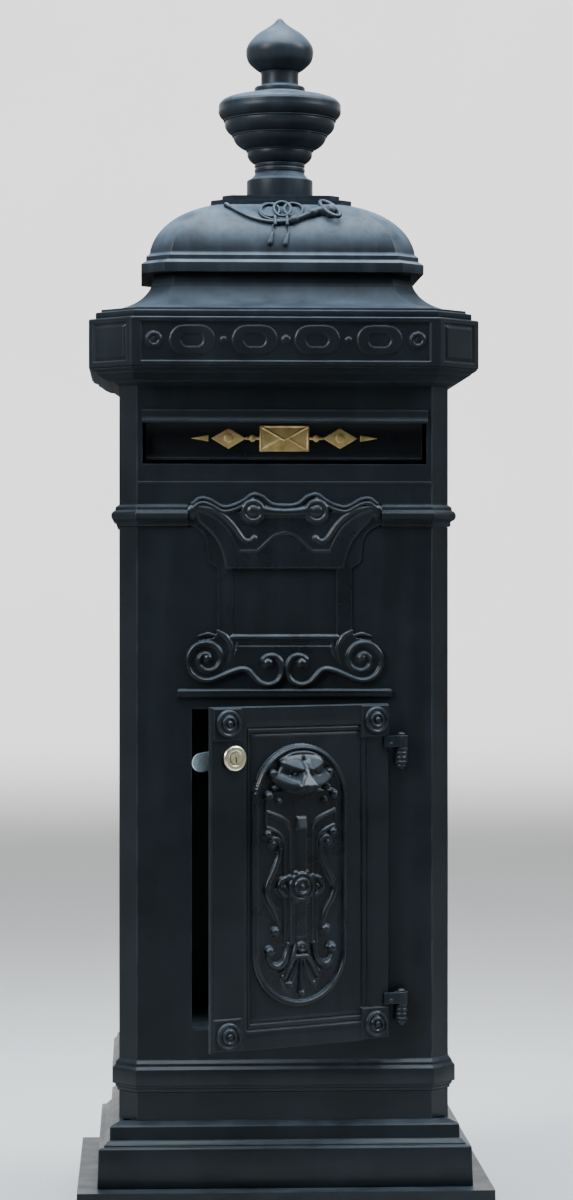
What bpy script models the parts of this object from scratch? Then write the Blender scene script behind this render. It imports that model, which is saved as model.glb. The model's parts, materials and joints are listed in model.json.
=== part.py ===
"""Pedestal mailbox with its collection door standing open. Metres, +Z up.

The underside of the base slab is z = 0 and the front faces -Y. The tower is a
stack of castings whose plan is a rectangle with cut corners. The door, its lock
and the slot flap are modelled shut, then turned about their own axes to rest.
"""
import math

import bmesh
import bpy
from mathutils import Matrix, Vector

COLLECTION = "pedestal_mailbox"

# Clearance between neighbouring castings, and the wall of a casting
GAP = 0.0003
WALL = 0.005

# Plan of the tower's body
BODY_HALF_WIDTH = 0.1655
BODY_HALF_DEPTH = 0.1130
BODY_CUT = 0.018
CUT_GROWTH = 0.8

# Half widths of the stacked castings
SLAB_HALF_WIDTH = 0.2068
PLINTH_HALF_WIDTH = 0.1870
FRIEZE_HALF_WIDTH = 0.1959
LID_HALF_WIDTH = 0.1435
LID_DEPTH_RATIO = 0.634
LID_CUT_RATIO = 0.16

# Heights at which the castings meet
SLAB_TOP = 0.0420
PLINTH_TOP = 0.1065
BELT_BOTTOM = 0.1340
BELT_TOP = 0.1670
WAIST_BOTTOM = 0.6990
WAIST_TOP = 0.7220
HEAD_TOP = 0.8400
FRIEZE_BOTTOM = 0.8577
FRIEZE_TOP = 0.9070
LID_BOTTOM = 0.9564
DOME_TOP = 1.0300
PLATE_TOP = 1.0403

# Front face levels, going out from the body
FACE = -BODY_HALF_DEPTH
PANEL_HALF_WIDTH = BODY_HALF_WIDTH - BODY_CUT - GAP
TRIM_THICKNESS = 0.0025

# Mail slot, its hood and its flap
SLOT_HALF_WIDTH = 0.1423
SLOT_BOTTOM = 0.7620
SLOT_TOP = 0.8030
HOOD_HALF_WIDTH = 0.1430
HOOD_TOP = 0.8165
HOOD_REACH = 0.0095
FLAP_HALF_WIDTH = 0.1385
FLAP_BOTTOM = 0.7655
FLAP_THICKNESS = 0.0025
FLAP_SINK = 0.0095
ROD_RADIUS = 0.0020
ROD_Y = FACE + 0.0125
ROD_Z = 0.8110

# Door opening and door, in the shut position
OPENING_HALF_WIDTH = 0.0930
OPENING_BOTTOM = 0.1965
OPENING_TOP = 0.5173
DOOR_LEFT = -0.1000
DOOR_RIGHT = 0.1030
DOOR_BOTTOM = 0.1885
DOOR_TOP = 0.5230
DOOR_BACK = FACE - 0.0006
DOOR_FACE = DOOR_BACK - 0.0054
DOOR_FIELD_SINK = 0.0018
DOOR_FRAME_WIDTH = 0.0260
DOOR_REST_ANGLE = 28.0
HINGE_X = 0.1160
HINGE_Y = -0.1215
HINGE_RADIUS = 0.0065
HINGE_PIN_RADIUS = 0.0027
HINGE_BOTTOMS = {"upper": 0.4595, "lower": 0.2035}
LUG_HEIGHT = 0.0195
LEAF_HEIGHT = 0.0120

# Medallion and lion's head on the door
MEDALLION_HALF_WIDTH = 0.0540
MEDALLION_HALF_HEIGHT = 0.1290
MEDALLION_Z = 0.3570
LION_Z = 0.4455
LION_RADII = (0.0310, 0.0190, 0.0300)
ROSETTE_INSET = 0.0160

# Cam lock
LOCK_X = -0.0745
LOCK_Z = 0.4733
LOCK_FACE_RADIUS = 0.0124
LOCK_BARREL_RADIUS = 0.0094
PLUG_RADIUS = 0.0062
LOCK_TAIL = FACE + 0.0080
CAM_LENGTH = 0.0380
CAM_REST_ANGLE = 8.0
CAM_HALF_WIDTH = 0.0090
CAM_THICKNESS = 0.0025
CAM_SCREW_RADIUS = 0.0020

# Finial
ROD_CLEARANCE = 0.0053
FINIAL_ROD_RADIUS = 0.0050
NECK_TOP = 1.1726

FINISHES = {
    "black_paint": ((0.020, 0.023, 0.027, 1.0), 0.0, 0.42),
    "brass": ((0.72, 0.62, 0.38, 1.0), 1.0, 0.28),
    "zinc_steel": ((0.62, 0.63, 0.62, 1.0), 1.0, 0.35),
    "gilt": ((0.76, 0.56, 0.24, 1.0), 0.4, 0.40),
}

FRONT = Matrix.Rotation(math.radians(90.0), 4, "X")
PLAN = Matrix.Identity(4)
SIDE = Matrix(((0, 0, 1, 0), (1, 0, 0, 0), (0, 1, 0, 0), (0, 0, 0, 1)))


# ---------------------------------------------------------------- scene and objects

def clear_scene():
    for obj in list(bpy.data.objects):
        bpy.data.objects.remove(obj, do_unlink=True)


def make_collection(name):
    collection = bpy.data.collections.new(name)
    bpy.context.scene.collection.children.link(collection)
    return collection


def make_material(name, finish):
    color, metallic, roughness = FINISHES[finish]
    material = bpy.data.materials.new(name)
    material.use_nodes = True
    shader = material.node_tree.nodes["Principled BSDF"]
    shader.inputs["Base Color"].default_value = color
    shader.inputs["Metallic"].default_value = metallic
    shader.inputs["Roughness"].default_value = roughness
    return material


def add_part(name, mesh, finish="black_paint"):
    part = bpy.data.objects.new(name, mesh)
    mesh.name = name
    mesh.materials.append(make_material(name, finish))
    parts.objects.link(part)
    return part


def add_cutter(name, mesh):
    cutter = bpy.data.objects.new(name, mesh)
    cutter.hide_render = True
    cutter.display_type = "WIRE"
    cutters.objects.link(cutter)
    return cutter


def cut(part, cutter):
    boolean = part.modifiers.new(cutter.name, "BOOLEAN")
    boolean.operation = "DIFFERENCE"
    boolean.solver = "EXACT"
    boolean.object = cutter


def add_axis(name, location, parent=None):
    axis = bpy.data.objects.new(name, None)
    axis.empty_display_size = 0.03
    parts.objects.link(axis)
    axis.location = location
    bpy.context.view_layer.update()
    if parent:
        attach([axis], parent)
    return axis


def attach(children, parent):
    bpy.context.view_layer.update()
    for child in children:
        child.parent = parent
        child.matrix_parent_inverse = parent.matrix_world.inverted()


# ---------------------------------------------------------------- shapes

def mesh_from(bm):
    bmesh.ops.recalc_face_normals(bm, faces=bm.faces)
    mesh = bpy.data.meshes.new("solid")
    bm.to_mesh(mesh)
    bm.free()
    return mesh


def box_mesh(low, high):
    bm = bmesh.new()
    bmesh.ops.create_cube(bm, size=1.0)
    low, high = Vector(low), Vector(high)
    size = high - low
    placing = Matrix.Translation((low + high) / 2) @ Matrix.Diagonal((*size, 1.0))
    bmesh.ops.transform(bm, matrix=placing, verts=bm.verts)
    return mesh_from(bm)


def cylinder_mesh(radius, start, end, segments=20):
    """A cylinder between two points."""
    start, end = Vector(start), Vector(end)
    axis = end - start
    bm = bmesh.new()
    bmesh.ops.create_cone(bm, cap_ends=True, segments=segments, radius1=radius,
                          radius2=radius, depth=axis.length)
    turn = Vector((0, 0, 1)).rotation_difference(axis).to_matrix().to_4x4()
    placing = Matrix.Translation((start + end) / 2) @ turn
    bmesh.ops.transform(bm, matrix=placing, verts=bm.verts)
    return mesh_from(bm)


def arc(centre, radius, start, end, steps):
    """Points along an arc, angles in degrees."""
    points = []
    for step in range(steps + 1):
        angle = math.radians(start + (end - start) * step / steps)
        points.append((centre[0] + radius * math.cos(angle), centre[1] + radius * math.sin(angle)))
    return points


def circle(centre, radius, segments=20):
    return arc(centre, radius, 0.0, 360.0, segments)[:-1]


def rectangle(low, high):
    return [low, (high[0], low[1]), high, (low[0], high[1])]


def mirrored(points):
    """A right half, listed from its top to its bottom, with its left half added."""
    return points + [(-x, y) for x, y in reversed(points) if x > 0]


def plate_mesh(loops, low, high, plane):
    """A flat outline with holes, filled and extruded from low to high along the plane's normal.

    FRONT outlines are (x, z) with their normal along -Y, PLAN ones are (x, y) along +Z and
    SIDE ones are (y, z) along +X.
    """
    curve = bpy.data.curves.new("outline", "CURVE")
    curve.dimensions = "2D"
    curve.fill_mode = "BOTH"
    curve.extrude = (high - low) / 2
    for loop in loops:
        spline = curve.splines.new("POLY")
        spline.points.add(len(loop) - 1)
        spline.use_cyclic_u = True
        for point, (x, y) in zip(spline.points, loop):
            point.co = (x, y, 0.0, 1.0)
    outline = bpy.data.objects.new("outline", curve)
    bpy.context.scene.collection.objects.link(outline)
    outline.matrix_world = plane @ Matrix.Translation((0, 0, (low + high) / 2))
    bpy.context.view_layer.update()
    evaluated = outline.evaluated_get(bpy.context.evaluated_depsgraph_get())
    raw = bpy.data.meshes.new_from_object(evaluated)
    raw.transform(outline.matrix_world)
    bm = bmesh.new()
    bm.from_mesh(raw)
    bmesh.ops.remove_doubles(bm, verts=bm.verts, dist=0.00001)
    bpy.data.objects.remove(outline, do_unlink=True)
    bpy.data.curves.remove(curve)
    bpy.data.meshes.remove(raw)
    mesh = mesh_from(bm)
    mesh.shade_smooth()
    mesh.set_sharp_from_angle(angle=math.radians(35))
    return mesh


def turned_mesh(profile, closed=False, segments=24):
    """A profile of (radius, z) points, outer side top to bottom, turned about the Z axis."""
    mesh = bpy.data.meshes.new("profile")
    count = len(profile)
    edges = [(i, i + 1) for i in range(count - 1)]
    if closed:
        edges.append((count - 1, 0))
    mesh.from_pydata([(r, 0.0, z) for r, z in profile], edges, [])
    lathe = bpy.data.objects.new("lathe", mesh)
    bpy.context.scene.collection.objects.link(lathe)
    screw = lathe.modifiers.new("turn", "SCREW")
    screw.axis = "Z"
    screw.steps = segments
    screw.render_steps = segments
    screw.use_merge_vertices = True
    screw.merge_threshold = 0.00001
    bpy.context.view_layer.update()
    evaluated = lathe.evaluated_get(bpy.context.evaluated_depsgraph_get())
    solid = bpy.data.meshes.new_from_object(evaluated)
    bpy.data.objects.remove(lathe, do_unlink=True)
    bpy.data.meshes.remove(mesh)
    solid.shade_smooth()
    solid.set_sharp_from_angle(angle=math.radians(35))
    return solid


def turned_forward(profile, x, z, closed=False, segments=24):
    """A turned mesh whose axis points out of the front face through (x, z).

    The profile's second number is the distance in front of the plane y = 0.
    """
    mesh = turned_mesh(profile, closed, segments)
    mesh.transform(Matrix.Translation((x, 0, z)) @ FRONT)
    return mesh


def cut_rectangle(half_width, half_depth, corner, z):
    """A rectangle in plan with its corners cut off at 45 degrees."""
    quarter = [(half_width - corner, half_depth), (half_width, half_depth - corner)]
    if corner == 0:
        quarter = [(half_width, half_depth)]
    corners = list(quarter)
    corners += [(x, -y) for x, y in reversed(quarter)]
    corners += [(-x, -y) for x, y in quarter]
    corners += [(-x, y) for x, y in reversed(quarter)]
    return [Vector((x, y, z)) for x, y in corners]


def tower_section(half_width, z):
    """The tower's plan, offset outwards from the body's."""
    growth = half_width - BODY_HALF_WIDTH
    return cut_rectangle(half_width, BODY_HALF_DEPTH + growth, BODY_CUT + CUT_GROWTH * growth, z)


def square_section(half_width, z):
    """The plinth's plan, which has whole corners."""
    return cut_rectangle(half_width, BODY_HALF_DEPTH + half_width - BODY_HALF_WIDTH, 0, z)


def lid_section(half_width, z):
    """The lid's plan, which shrinks in proportion."""
    return cut_rectangle(half_width, half_width * LID_DEPTH_RATIO, half_width * LID_CUT_RATIO, z)


def loft_mesh(sections, ring=False):
    """A skin through plan sections. A ring joins the last section to the first."""
    bm = bmesh.new()
    loops = [[bm.verts.new(point) for point in section] for section in sections]
    pairs = list(zip(loops, loops[1:]))
    if ring:
        pairs.append((loops[-1], loops[0]))
    for lower, upper in pairs:
        for i in range(len(lower)):
            j = (i + 1) % len(lower)
            bm.faces.new((lower[i], lower[j], upper[j], upper[i]))
    if not ring:
        bm.faces.new(loops[0])
        bm.faces.new(loops[-1])
    return mesh_from(bm)


def moulding_mesh(outer, section=tower_section, wall=WALL, inner=None):
    """A hollow frame: an outer profile of (half width, z) going up, and a plain inner wall."""
    bore = BODY_HALF_WIDTH - wall
    inner = inner or [(bore, outer[-1][1]), (bore, outer[0][1])]
    return loft_mesh([section(w, z) for w, z in outer + inner], ring=True)


# ---------------------------------------------------------------- base

def build_base():
    floor = 0.008
    lip = 0.1780
    profile = [(SLAB_HALF_WIDTH, 0.0), (SLAB_HALF_WIDTH, SLAB_TOP), (lip, SLAB_TOP),
               (lip, SLAB_TOP - floor), (SLAB_HALF_WIDTH - floor, SLAB_TOP - floor),
               (SLAB_HALF_WIDTH - floor, floor)]
    slab = add_part("base_slab", loft_mesh([square_section(w, z) for w, z in profile]))
    for x in (-0.125, 0.125):
        for y in (-0.075, 0.075):
            hole = cylinder_mesh(0.0065, (x, y, -0.01), (x, y, 0.02), 12)
            cut(slab, add_cutter("anchor_hole", hole))

    outer = [(PLINTH_HALF_WIDTH, SLAB_TOP + GAP), (0.1858, 0.0808), (0.1845, 0.0825),
             (0.1804, 0.0825), (0.1804, 0.0843), (0.1766, 0.0880), (0.1746, 0.0880),
             (0.1746, 0.1020), (BODY_HALF_WIDTH + GAP, PLINTH_TOP - GAP)]
    inner = [(0.1605, PLINTH_TOP - GAP), (0.1605, 0.0980), (0.1690, 0.0960),
             (0.1690, 0.0800), (0.1795, 0.0760), (0.1800, SLAB_TOP + GAP)]
    add_part("plinth", moulding_mesh(outer, square_section, inner=inner))

    wall = [(BODY_HALF_WIDTH, PLINTH_TOP), (BODY_HALF_WIDTH, BELT_BOTTOM)]
    add_part("lower_body", moulding_mesh(wall))

    belt = [(0.1655, BELT_BOTTOM + GAP), (0.1675, 0.1352), (0.1675, 0.1380), (0.1695, 0.1390),
            (0.1695, 0.1412), (0.1724, 0.1420), (0.1724, 0.1576), (0.1705, 0.1592),
            (0.1690, 0.1608), (0.1690, 0.1632), (0.1655, BELT_TOP - GAP)]
    add_part("lower_belt", moulding_mesh(belt))


# ---------------------------------------------------------------- tower

def corner_post_mesh(x_sign, y_sign):
    """A post that makes one cut corner and laps behind the two panels that meet there."""
    w, d, c = BODY_HALF_WIDTH, BODY_HALF_DEPTH, BODY_CUT
    inner_cut = c - WALL * (2 - math.sqrt(2))
    back = WALL + GAP
    lap = 0.020
    leg = 0.005
    outline = [
        (w - c, d), (w, d - c), (w - back, d - c), (w - back, d - c - lap),
        (w - back - leg, d - c - lap), (w - back - leg, d - back - inner_cut),
        (w - back - inner_cut, d - back - leg), (w - c - lap, d - back - leg),
        (w - c - lap, d - back), (w - c, d - back)]
    outline = [(x * x_sign, y * y_sign) for x, y in outline]
    return plate_mesh([outline], BELT_TOP, WAIST_BOTTOM, PLAN)


def build_tower():
    posts = {"front_left": (-1, -1), "front_right": (1, -1), "rear_left": (-1, 1), "rear_right": (1, 1)}
    for place, (x_sign, y_sign) in posts.items():
        add_part("corner_post_" + place, corner_post_mesh(x_sign, y_sign))

    low, high = BELT_TOP, WAIST_BOTTOM
    panel = rectangle((-PANEL_HALF_WIDTH, low), (PANEL_HALF_WIDTH, high))
    opening = rectangle((-OPENING_HALF_WIDTH, OPENING_BOTTOM), (OPENING_HALF_WIDTH, OPENING_TOP))
    add_part("front_panel", plate_mesh([panel, opening], -FACE - WALL, -FACE, FRONT))
    add_part("back_panel", plate_mesh([panel], FACE, FACE + WALL, FRONT))
    side = BODY_HALF_DEPTH - BODY_CUT - GAP
    add_part("left_panel", box_mesh((-BODY_HALF_WIDTH, -side, low), (-BODY_HALF_WIDTH + WALL, side, high)))
    add_part("right_panel", box_mesh((BODY_HALF_WIDTH - WALL, -side, low), (BODY_HALF_WIDTH, side, high)))

    bead = arc((0.1680, 0.7105), 0.0056, -80, 75, 6)
    waist = [(0.1655, WAIST_BOTTOM + GAP), (0.1682, 0.7000), (0.1682, 0.7042)] + bead
    waist += [(0.1694, 0.7175), (0.1690, 0.7192), (0.1655, WAIST_TOP - GAP)]
    belt = add_part("waist_belt", moulding_mesh(waist))
    seat = box_mesh((-0.0975, FACE - 0.02, WAIST_BOTTOM - 0.01), (0.0975, FACE, WAIST_TOP + 0.01))
    cut(belt, add_cutter("cartouche_seat", seat))


def build_interior():
    floor = 0.1860
    thickness = 0.0030
    corner = 0.0095
    front = FACE + WALL + 0.001
    right = [(0.0, 0.1010), (0.1530 - corner, 0.1010), (0.1530, 0.1010 - corner),
             (0.1530, corner - 0.1010), (0.1530 - corner, -0.1010), (0.1250, -0.1010), (0.1250, front)]
    outline = mirrored(right)
    add_part("mail_floor", plate_mesh([outline], floor, floor + thickness, PLAN), "zinc_steel")

    wall = BODY_HALF_WIDTH - WALL - GAP
    top = floor - GAP
    angle = [(wall, top), (wall - 0.022, top), (wall - 0.022, top - 0.003), (wall - 0.003, top - 0.003),
             (wall - 0.003, top - 0.016), (wall, top - 0.016)]
    for side, sign in (("left", -1), ("right", 1)):
        outline = [(x * sign, z) for x, z in angle]
        add_part("floor_rail_" + side, plate_mesh([outline], -0.070, 0.070, FRONT), "zinc_steel")


# ---------------------------------------------------------------- head

def head_shell_mesh():
    """The head's sides and back in one bent casting whose ends lap behind the slot front."""
    start = BODY_HALF_WIDTH - BODY_CUT
    lap = start - 0.0040
    seat = FACE + WALL + GAP
    outer = [(lap, seat + WALL), (lap, seat), (start, seat), (start, FACE),
             (BODY_HALF_WIDTH, FACE + BODY_CUT), (BODY_HALF_WIDTH, -FACE - BODY_CUT), (start, -FACE)]
    bore = BODY_HALF_WIDTH - WALL
    bore_depth = BODY_HALF_DEPTH - WALL
    corner = BODY_CUT - CUT_GROWTH * WALL
    inner = [(bore - corner, seat + WALL), (bore, corner - bore_depth),
             (bore, bore_depth - corner), (bore - corner, bore_depth)]
    outline = mirrored(outer) + [(-x, y) for x, y in inner] + inner[::-1]
    return plate_mesh([outline], WAIST_TOP, HEAD_TOP, PLAN)


def build_head():
    panel = rectangle((-PANEL_HALF_WIDTH, WAIST_TOP), (PANEL_HALF_WIDTH, HEAD_TOP))
    slot = rectangle((-SLOT_HALF_WIDTH, SLOT_BOTTOM), (SLOT_HALF_WIDTH, SLOT_TOP))
    add_part("head_front", plate_mesh([panel, slot], -FACE - WALL, -FACE, FRONT))
    add_part("head_shell", head_shell_mesh())

    root = FACE - GAP
    tip = FACE - HOOD_REACH
    hood = [(root, HOOD_TOP), (root - 0.0025, HOOD_TOP), (tip + 0.0015, SLOT_TOP + 0.0030),
            (tip, SLOT_TOP + 0.0015), (tip, SLOT_TOP), (root, SLOT_TOP)]
    add_part("slot_hood", plate_mesh([hood], -HOOD_HALF_WIDTH, HOOD_HALF_WIDTH, SIDE))

    rod_end = SLOT_HALF_WIDTH + 0.0007
    rod = cylinder_mesh(ROD_RADIUS, (-rod_end, ROD_Y, ROD_Z), (rod_end, ROD_Y, ROD_Z), 12)
    add_part("flap_rod", rod, "zinc_steel")
    ear = arc((ROD_Y, ROD_Z), 0.0050, 90, -90, 6) + [(FACE + WALL + GAP, ROD_Z - 0.005),
                                                     (FACE + WALL + GAP, ROD_Z + 0.005)]
    hole = circle((ROD_Y, ROD_Z), ROD_RADIUS + GAP, 12)
    inner_face = FLAP_HALF_WIDTH + 0.0012
    for side, sign in (("left", -1), ("right", 1)):
        low, high = sorted((sign * inner_face, sign * (inner_face + 0.0025)))
        add_part("flap_bracket_" + side, plate_mesh([ear, hole], low, high, SIDE), "zinc_steel")


def build_flap():
    """The flap hangs on its rod by a rolled edge and closes the slot from behind."""
    front = FACE + FLAP_SINK
    back = front + FLAP_THICKNESS
    eye = ROD_RADIUS + GAP + 0.0020
    start = -math.degrees(math.acos((back - ROD_Y) / eye))
    end = 360 - math.degrees(math.acos((front - ROD_Y) / eye))
    outline = [(back, FLAP_BOTTOM)] + arc((ROD_Y, ROD_Z), eye, start, end, 14) + [(front, FLAP_BOTTOM)]
    hole = circle((ROD_Y, ROD_Z), ROD_RADIUS + GAP, 12)
    flap = add_part("slot_flap", plate_mesh([outline, hole], -FLAP_HALF_WIDTH, FLAP_HALF_WIDTH, SIDE))

    low, high = 0.7745, 0.8015
    middle = (low + high) / 2
    bar = 0.0010
    half = [(0.0250, high), (0.0250, middle + bar), (0.0400, middle + bar), (0.0560, high - 0.003),
            (0.0720, middle + bar), (0.0950, middle), (0.0720, middle - bar), (0.0560, low + 0.003),
            (0.0400, middle - bar), (0.0250, middle - bar), (0.0250, low)]
    emblem = plate_mesh([mirrored(half)], -front + GAP, -front + GAP + 0.0015, FRONT)
    emblem = add_part("flap_emblem", emblem, "gilt")

    axis = add_axis("flap_axis", (0, ROD_Y, ROD_Z))
    attach([flap, emblem], axis)


# ---------------------------------------------------------------- roof

def build_roof():
    bed = [(0.1655, HEAD_TOP + GAP), (0.1695, 0.8430), (0.1712, 0.8437), (0.1712, 0.8447)]
    bed += [(0.1712 + 0.0150 * t, 0.8447 + 0.0068 * t * t) for t in (0.35, 0.7, 1.0)]
    bed += [(0.1885, 0.8522), (0.1885, 0.8540), (0.1935, 0.8560), (0.1950, FRIEZE_BOTTOM - GAP)]
    add_part("bed_moulding", moulding_mesh(bed))

    wall = 0.006
    band = [(FRIEZE_HALF_WIDTH, FRIEZE_BOTTOM), (FRIEZE_HALF_WIDTH, FRIEZE_TOP)]
    inner = [(FRIEZE_HALF_WIDTH - wall, FRIEZE_TOP), (FRIEZE_HALF_WIDTH - wall, FRIEZE_BOTTOM)]
    frieze = add_part("frieze_band", moulding_mesh(band, inner=inner))
    sink = 0.0015
    low, high = 0.8630, 0.9020
    reach = FRIEZE_HALF_WIDTH - BODY_HALF_WIDTH + BODY_HALF_DEPTH
    for sign in (-1, 1):
        near, far = sorted((sign * (reach - sink), sign * (reach + 0.02)))
        panel = box_mesh((-0.1435, near, low), (0.1435, far, high))
        cut(frieze, add_cutter("frieze_panel", panel))
        near, far = sorted((sign * (FRIEZE_HALF_WIDTH - sink), sign * (FRIEZE_HALF_WIDTH + 0.02)))
        panel = box_mesh((near, -0.0910, low), (far, 0.0910, high))
        cut(frieze, add_cutter("frieze_side_panel", panel))

    neck = 0.1310
    cove_low = 0.9170
    cove = [(0.1890, FRIEZE_TOP + GAP), (0.1890, 0.9135), (0.1835, 0.9145), (0.1835, cove_low)]
    for angle in (20, 40, 60, 80):
        turn = math.radians(angle)
        w = 0.1835 - (0.1835 - neck) * math.sin(turn)
        cove.append((w, cove_low + (LID_BOTTOM - 0.002 - cove_low) * (1 - math.cos(turn))))
    cove += [(neck, LID_BOTTOM - GAP)]
    shell = [(neck - 0.006, LID_BOTTOM - GAP), (neck - 0.006, 0.9380), (0.1400, 0.9230),
             (0.1775, 0.9100), (0.1775, FRIEZE_TOP + GAP)]
    add_part("roof_cove", moulding_mesh(cove, cove_section, inner=shell))
    build_dome()


def cove_section(half_width, z):
    """Between the frieze's plan and the lid's: the depth closes in towards the lid's."""
    lid = 0.1310
    outer = 0.1890
    share = (half_width - lid) / (outer - lid)
    frieze_depth = outer - BODY_HALF_WIDTH + BODY_HALF_DEPTH
    half_depth = lid * LID_DEPTH_RATIO + share * (frieze_depth - lid * LID_DEPTH_RATIO)
    return cut_rectangle(half_width, half_depth, 0.0210 + share * 0.0160, z)


def dome_profile(low_width, low_z, top_width, top_z, steps):
    """A quarter of an ellipse, swelling from the lid's edge up to the cap plate."""
    centre = 0.0380
    reach = (low_width - centre) / math.cos(math.radians(4.7))
    end = math.degrees(math.acos((top_width - centre) / reach))
    rise = (top_z - low_z) / (math.sin(math.radians(end)) - math.sin(math.radians(4.7)))
    base = low_z - rise * math.sin(math.radians(4.7))
    points = []
    for step in range(steps + 1):
        turn = math.radians(4.7 + (end - 4.7) * step / steps)
        points.append((centre + reach * math.cos(turn), base + rise * math.sin(turn)))
    return points


def build_dome():
    inside = dome_profile(0.1290, 0.9770, 0.0680, DOME_TOP - 0.006, 5)
    outside = dome_profile(0.1350, 0.9765, 0.0720, DOME_TOP, 8)
    profile = list(reversed(inside)) + [
        (0.1290, LID_BOTTOM), (LID_HALF_WIDTH, LID_BOTTOM), (LID_HALF_WIDTH, 0.9662),
        (0.1390, 0.9688), (0.1383, 0.9690), (0.1383, 0.9740)]
    profile += outside
    dome = add_part("roof_dome", loft_mesh([lid_section(w, z) for w, z in profile]))
    plate_low = DOME_TOP + GAP
    steps = [(0.0720, plate_low), (0.0720, 1.0347), (0.0600, 1.0352), (0.0600, PLATE_TOP)]
    plate = add_part("cap_plate", loft_mesh([lid_section(w, z) for w, z in steps]))
    bore = cylinder_mesh(ROD_CLEARANCE, (0, 0, 1.0), (0, 0, 1.1), 16)
    cutter = add_cutter("finial_rod_bore", bore)
    cut(dome, cutter)
    cut(plate, cutter)


def build_finial():
    bore = ROD_CLEARANCE
    base_low = PLATE_TOP + GAP
    base = [(0.0260, 1.0770), (0.0260, 1.0680), (0.0254, 1.0673), (0.0285, 1.0630), (0.0335, 1.0600),
            (0.0342, 1.0590), (0.0342, base_low), (bore, base_low), (bore, 1.0770)]
    add_part("finial_base", turned_mesh(base, closed=True))

    low = 1.0773
    high = NECK_TOP - GAP
    urn = [(0.0194, high), (0.0194, 1.1585), (0.0254, 1.1568), (0.0254, 1.1513), (0.0520, 1.1460)]
    urn += [(0.0600, 1.1420), (0.0633, 1.1368)]
    for top_radius, top_z, low_radius, low_z in (
            (0.0605, 1.1275, 0.0571, 1.1235), (0.0555, 1.1200, 0.0493, 1.1078),
            (0.0470, 1.1050, 0.0349, 1.0925), (0.0336, 1.0905, 0.0265, low)):
        urn += [(top_radius, top_z), (low_radius, low_z)]
    urn += [(bore, low), (bore, high)]
    add_part("finial_urn", turned_mesh(urn, closed=True))

    ball = [(0.0, 1.2286), (0.0050, 1.2245), (0.0125, 1.2186), (0.0228, 1.2123), (0.0290, 1.2060),
            (0.0335, 1.1995), (0.0350, 1.1934), (0.0335, 1.1860), (0.0285, 1.1785), (0.0204, NECK_TOP),
            (bore, NECK_TOP), (bore, 1.2000), (0.0, 1.2000)]
    add_part("finial_ball", turned_mesh(ball))

    rod_low = 1.0100
    rod = cylinder_mesh(FINIAL_ROD_RADIUS, (0, 0, rod_low), (0, 0, 1.1980), 16)
    add_part("finial_rod", rod, "zinc_steel")
    ceiling = DOME_TOP - 0.006 - GAP
    nut = plate_mesh([circle((0, 0), 0.0098, 6), circle((0, 0), bore, 16)], ceiling - 0.008, ceiling, PLAN)
    add_part("finial_nut", nut, "zinc_steel")


# ---------------------------------------------------------------- front trim

def build_trim():
    low = -FACE + GAP
    high = low + TRIM_THICKNESS
    half = [(0.0000, 0.7235), (0.0200, 0.7240), (0.0320, 0.7335), (0.0520, 0.7255), (0.0720, 0.7225),
            (0.0870, 0.7235), (0.0970, 0.7150), (0.0950, 0.7080), (0.0820, 0.6960), (0.0790, 0.6720),
            (0.0690, 0.6590), (0.0690, 0.5860), (0.0840, 0.5850), (0.0980, 0.5700), (0.0960, 0.5520),
            (0.0780, 0.5440), (0.0400, 0.5540), (0.0180, 0.5400), (0.0000, 0.5520)]
    window = rectangle((-0.0527, 0.5910), (0.0527, 0.6560))
    add_part("cartouche", plate_mesh([mirrored(half), window], low, high, FRONT))

    bar = [(-0.1140, 0.5290), (-0.1100, 0.5285), (0.1100, 0.5285), (0.1140, 0.5290), (0.1140, 0.5340),
           (0.1060, 0.5376), (-0.1060, 0.5376), (-0.1140, 0.5340)]
    add_part("drip_bar", plate_mesh([bar], low, low + 0.0040, FRONT))


# ---------------------------------------------------------------- door

def stadium(half_width, half_height, centre_z, steps=10):
    straight = half_height - half_width
    top = arc((0, centre_z + straight), half_width, 0, 180, steps)
    return top + arc((0, centre_z - straight), half_width, 180, 360, steps)


def lion_mask_mesh(back_y):
    """A low domed boss for the lion's head, flat at the back."""
    bm = bmesh.new()
    bmesh.ops.create_uvsphere(bm, u_segments=16, v_segments=10, radius=1.0)
    placing = Matrix.Translation((0.0, back_y, LION_Z)) @ Matrix.Diagonal((*LION_RADII, 1.0))
    bmesh.ops.transform(bm, matrix=placing, verts=bm.verts)
    everything = list(bm.verts) + list(bm.edges) + list(bm.faces)
    trimmed = bmesh.ops.bisect_plane(bm, geom=everything, dist=0.000001, plane_co=(0, back_y, 0),
                                     plane_no=(0, 1, 0), clear_outer=True)
    rim = [item for item in trimmed["geom_cut"] if isinstance(item, bmesh.types.BMEdge)]
    bmesh.ops.contextual_create(bm, geom=rim)
    mesh = mesh_from(bm)
    mesh.shade_smooth()
    mesh.set_sharp_from_angle(angle=math.radians(50))
    return mesh


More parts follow.
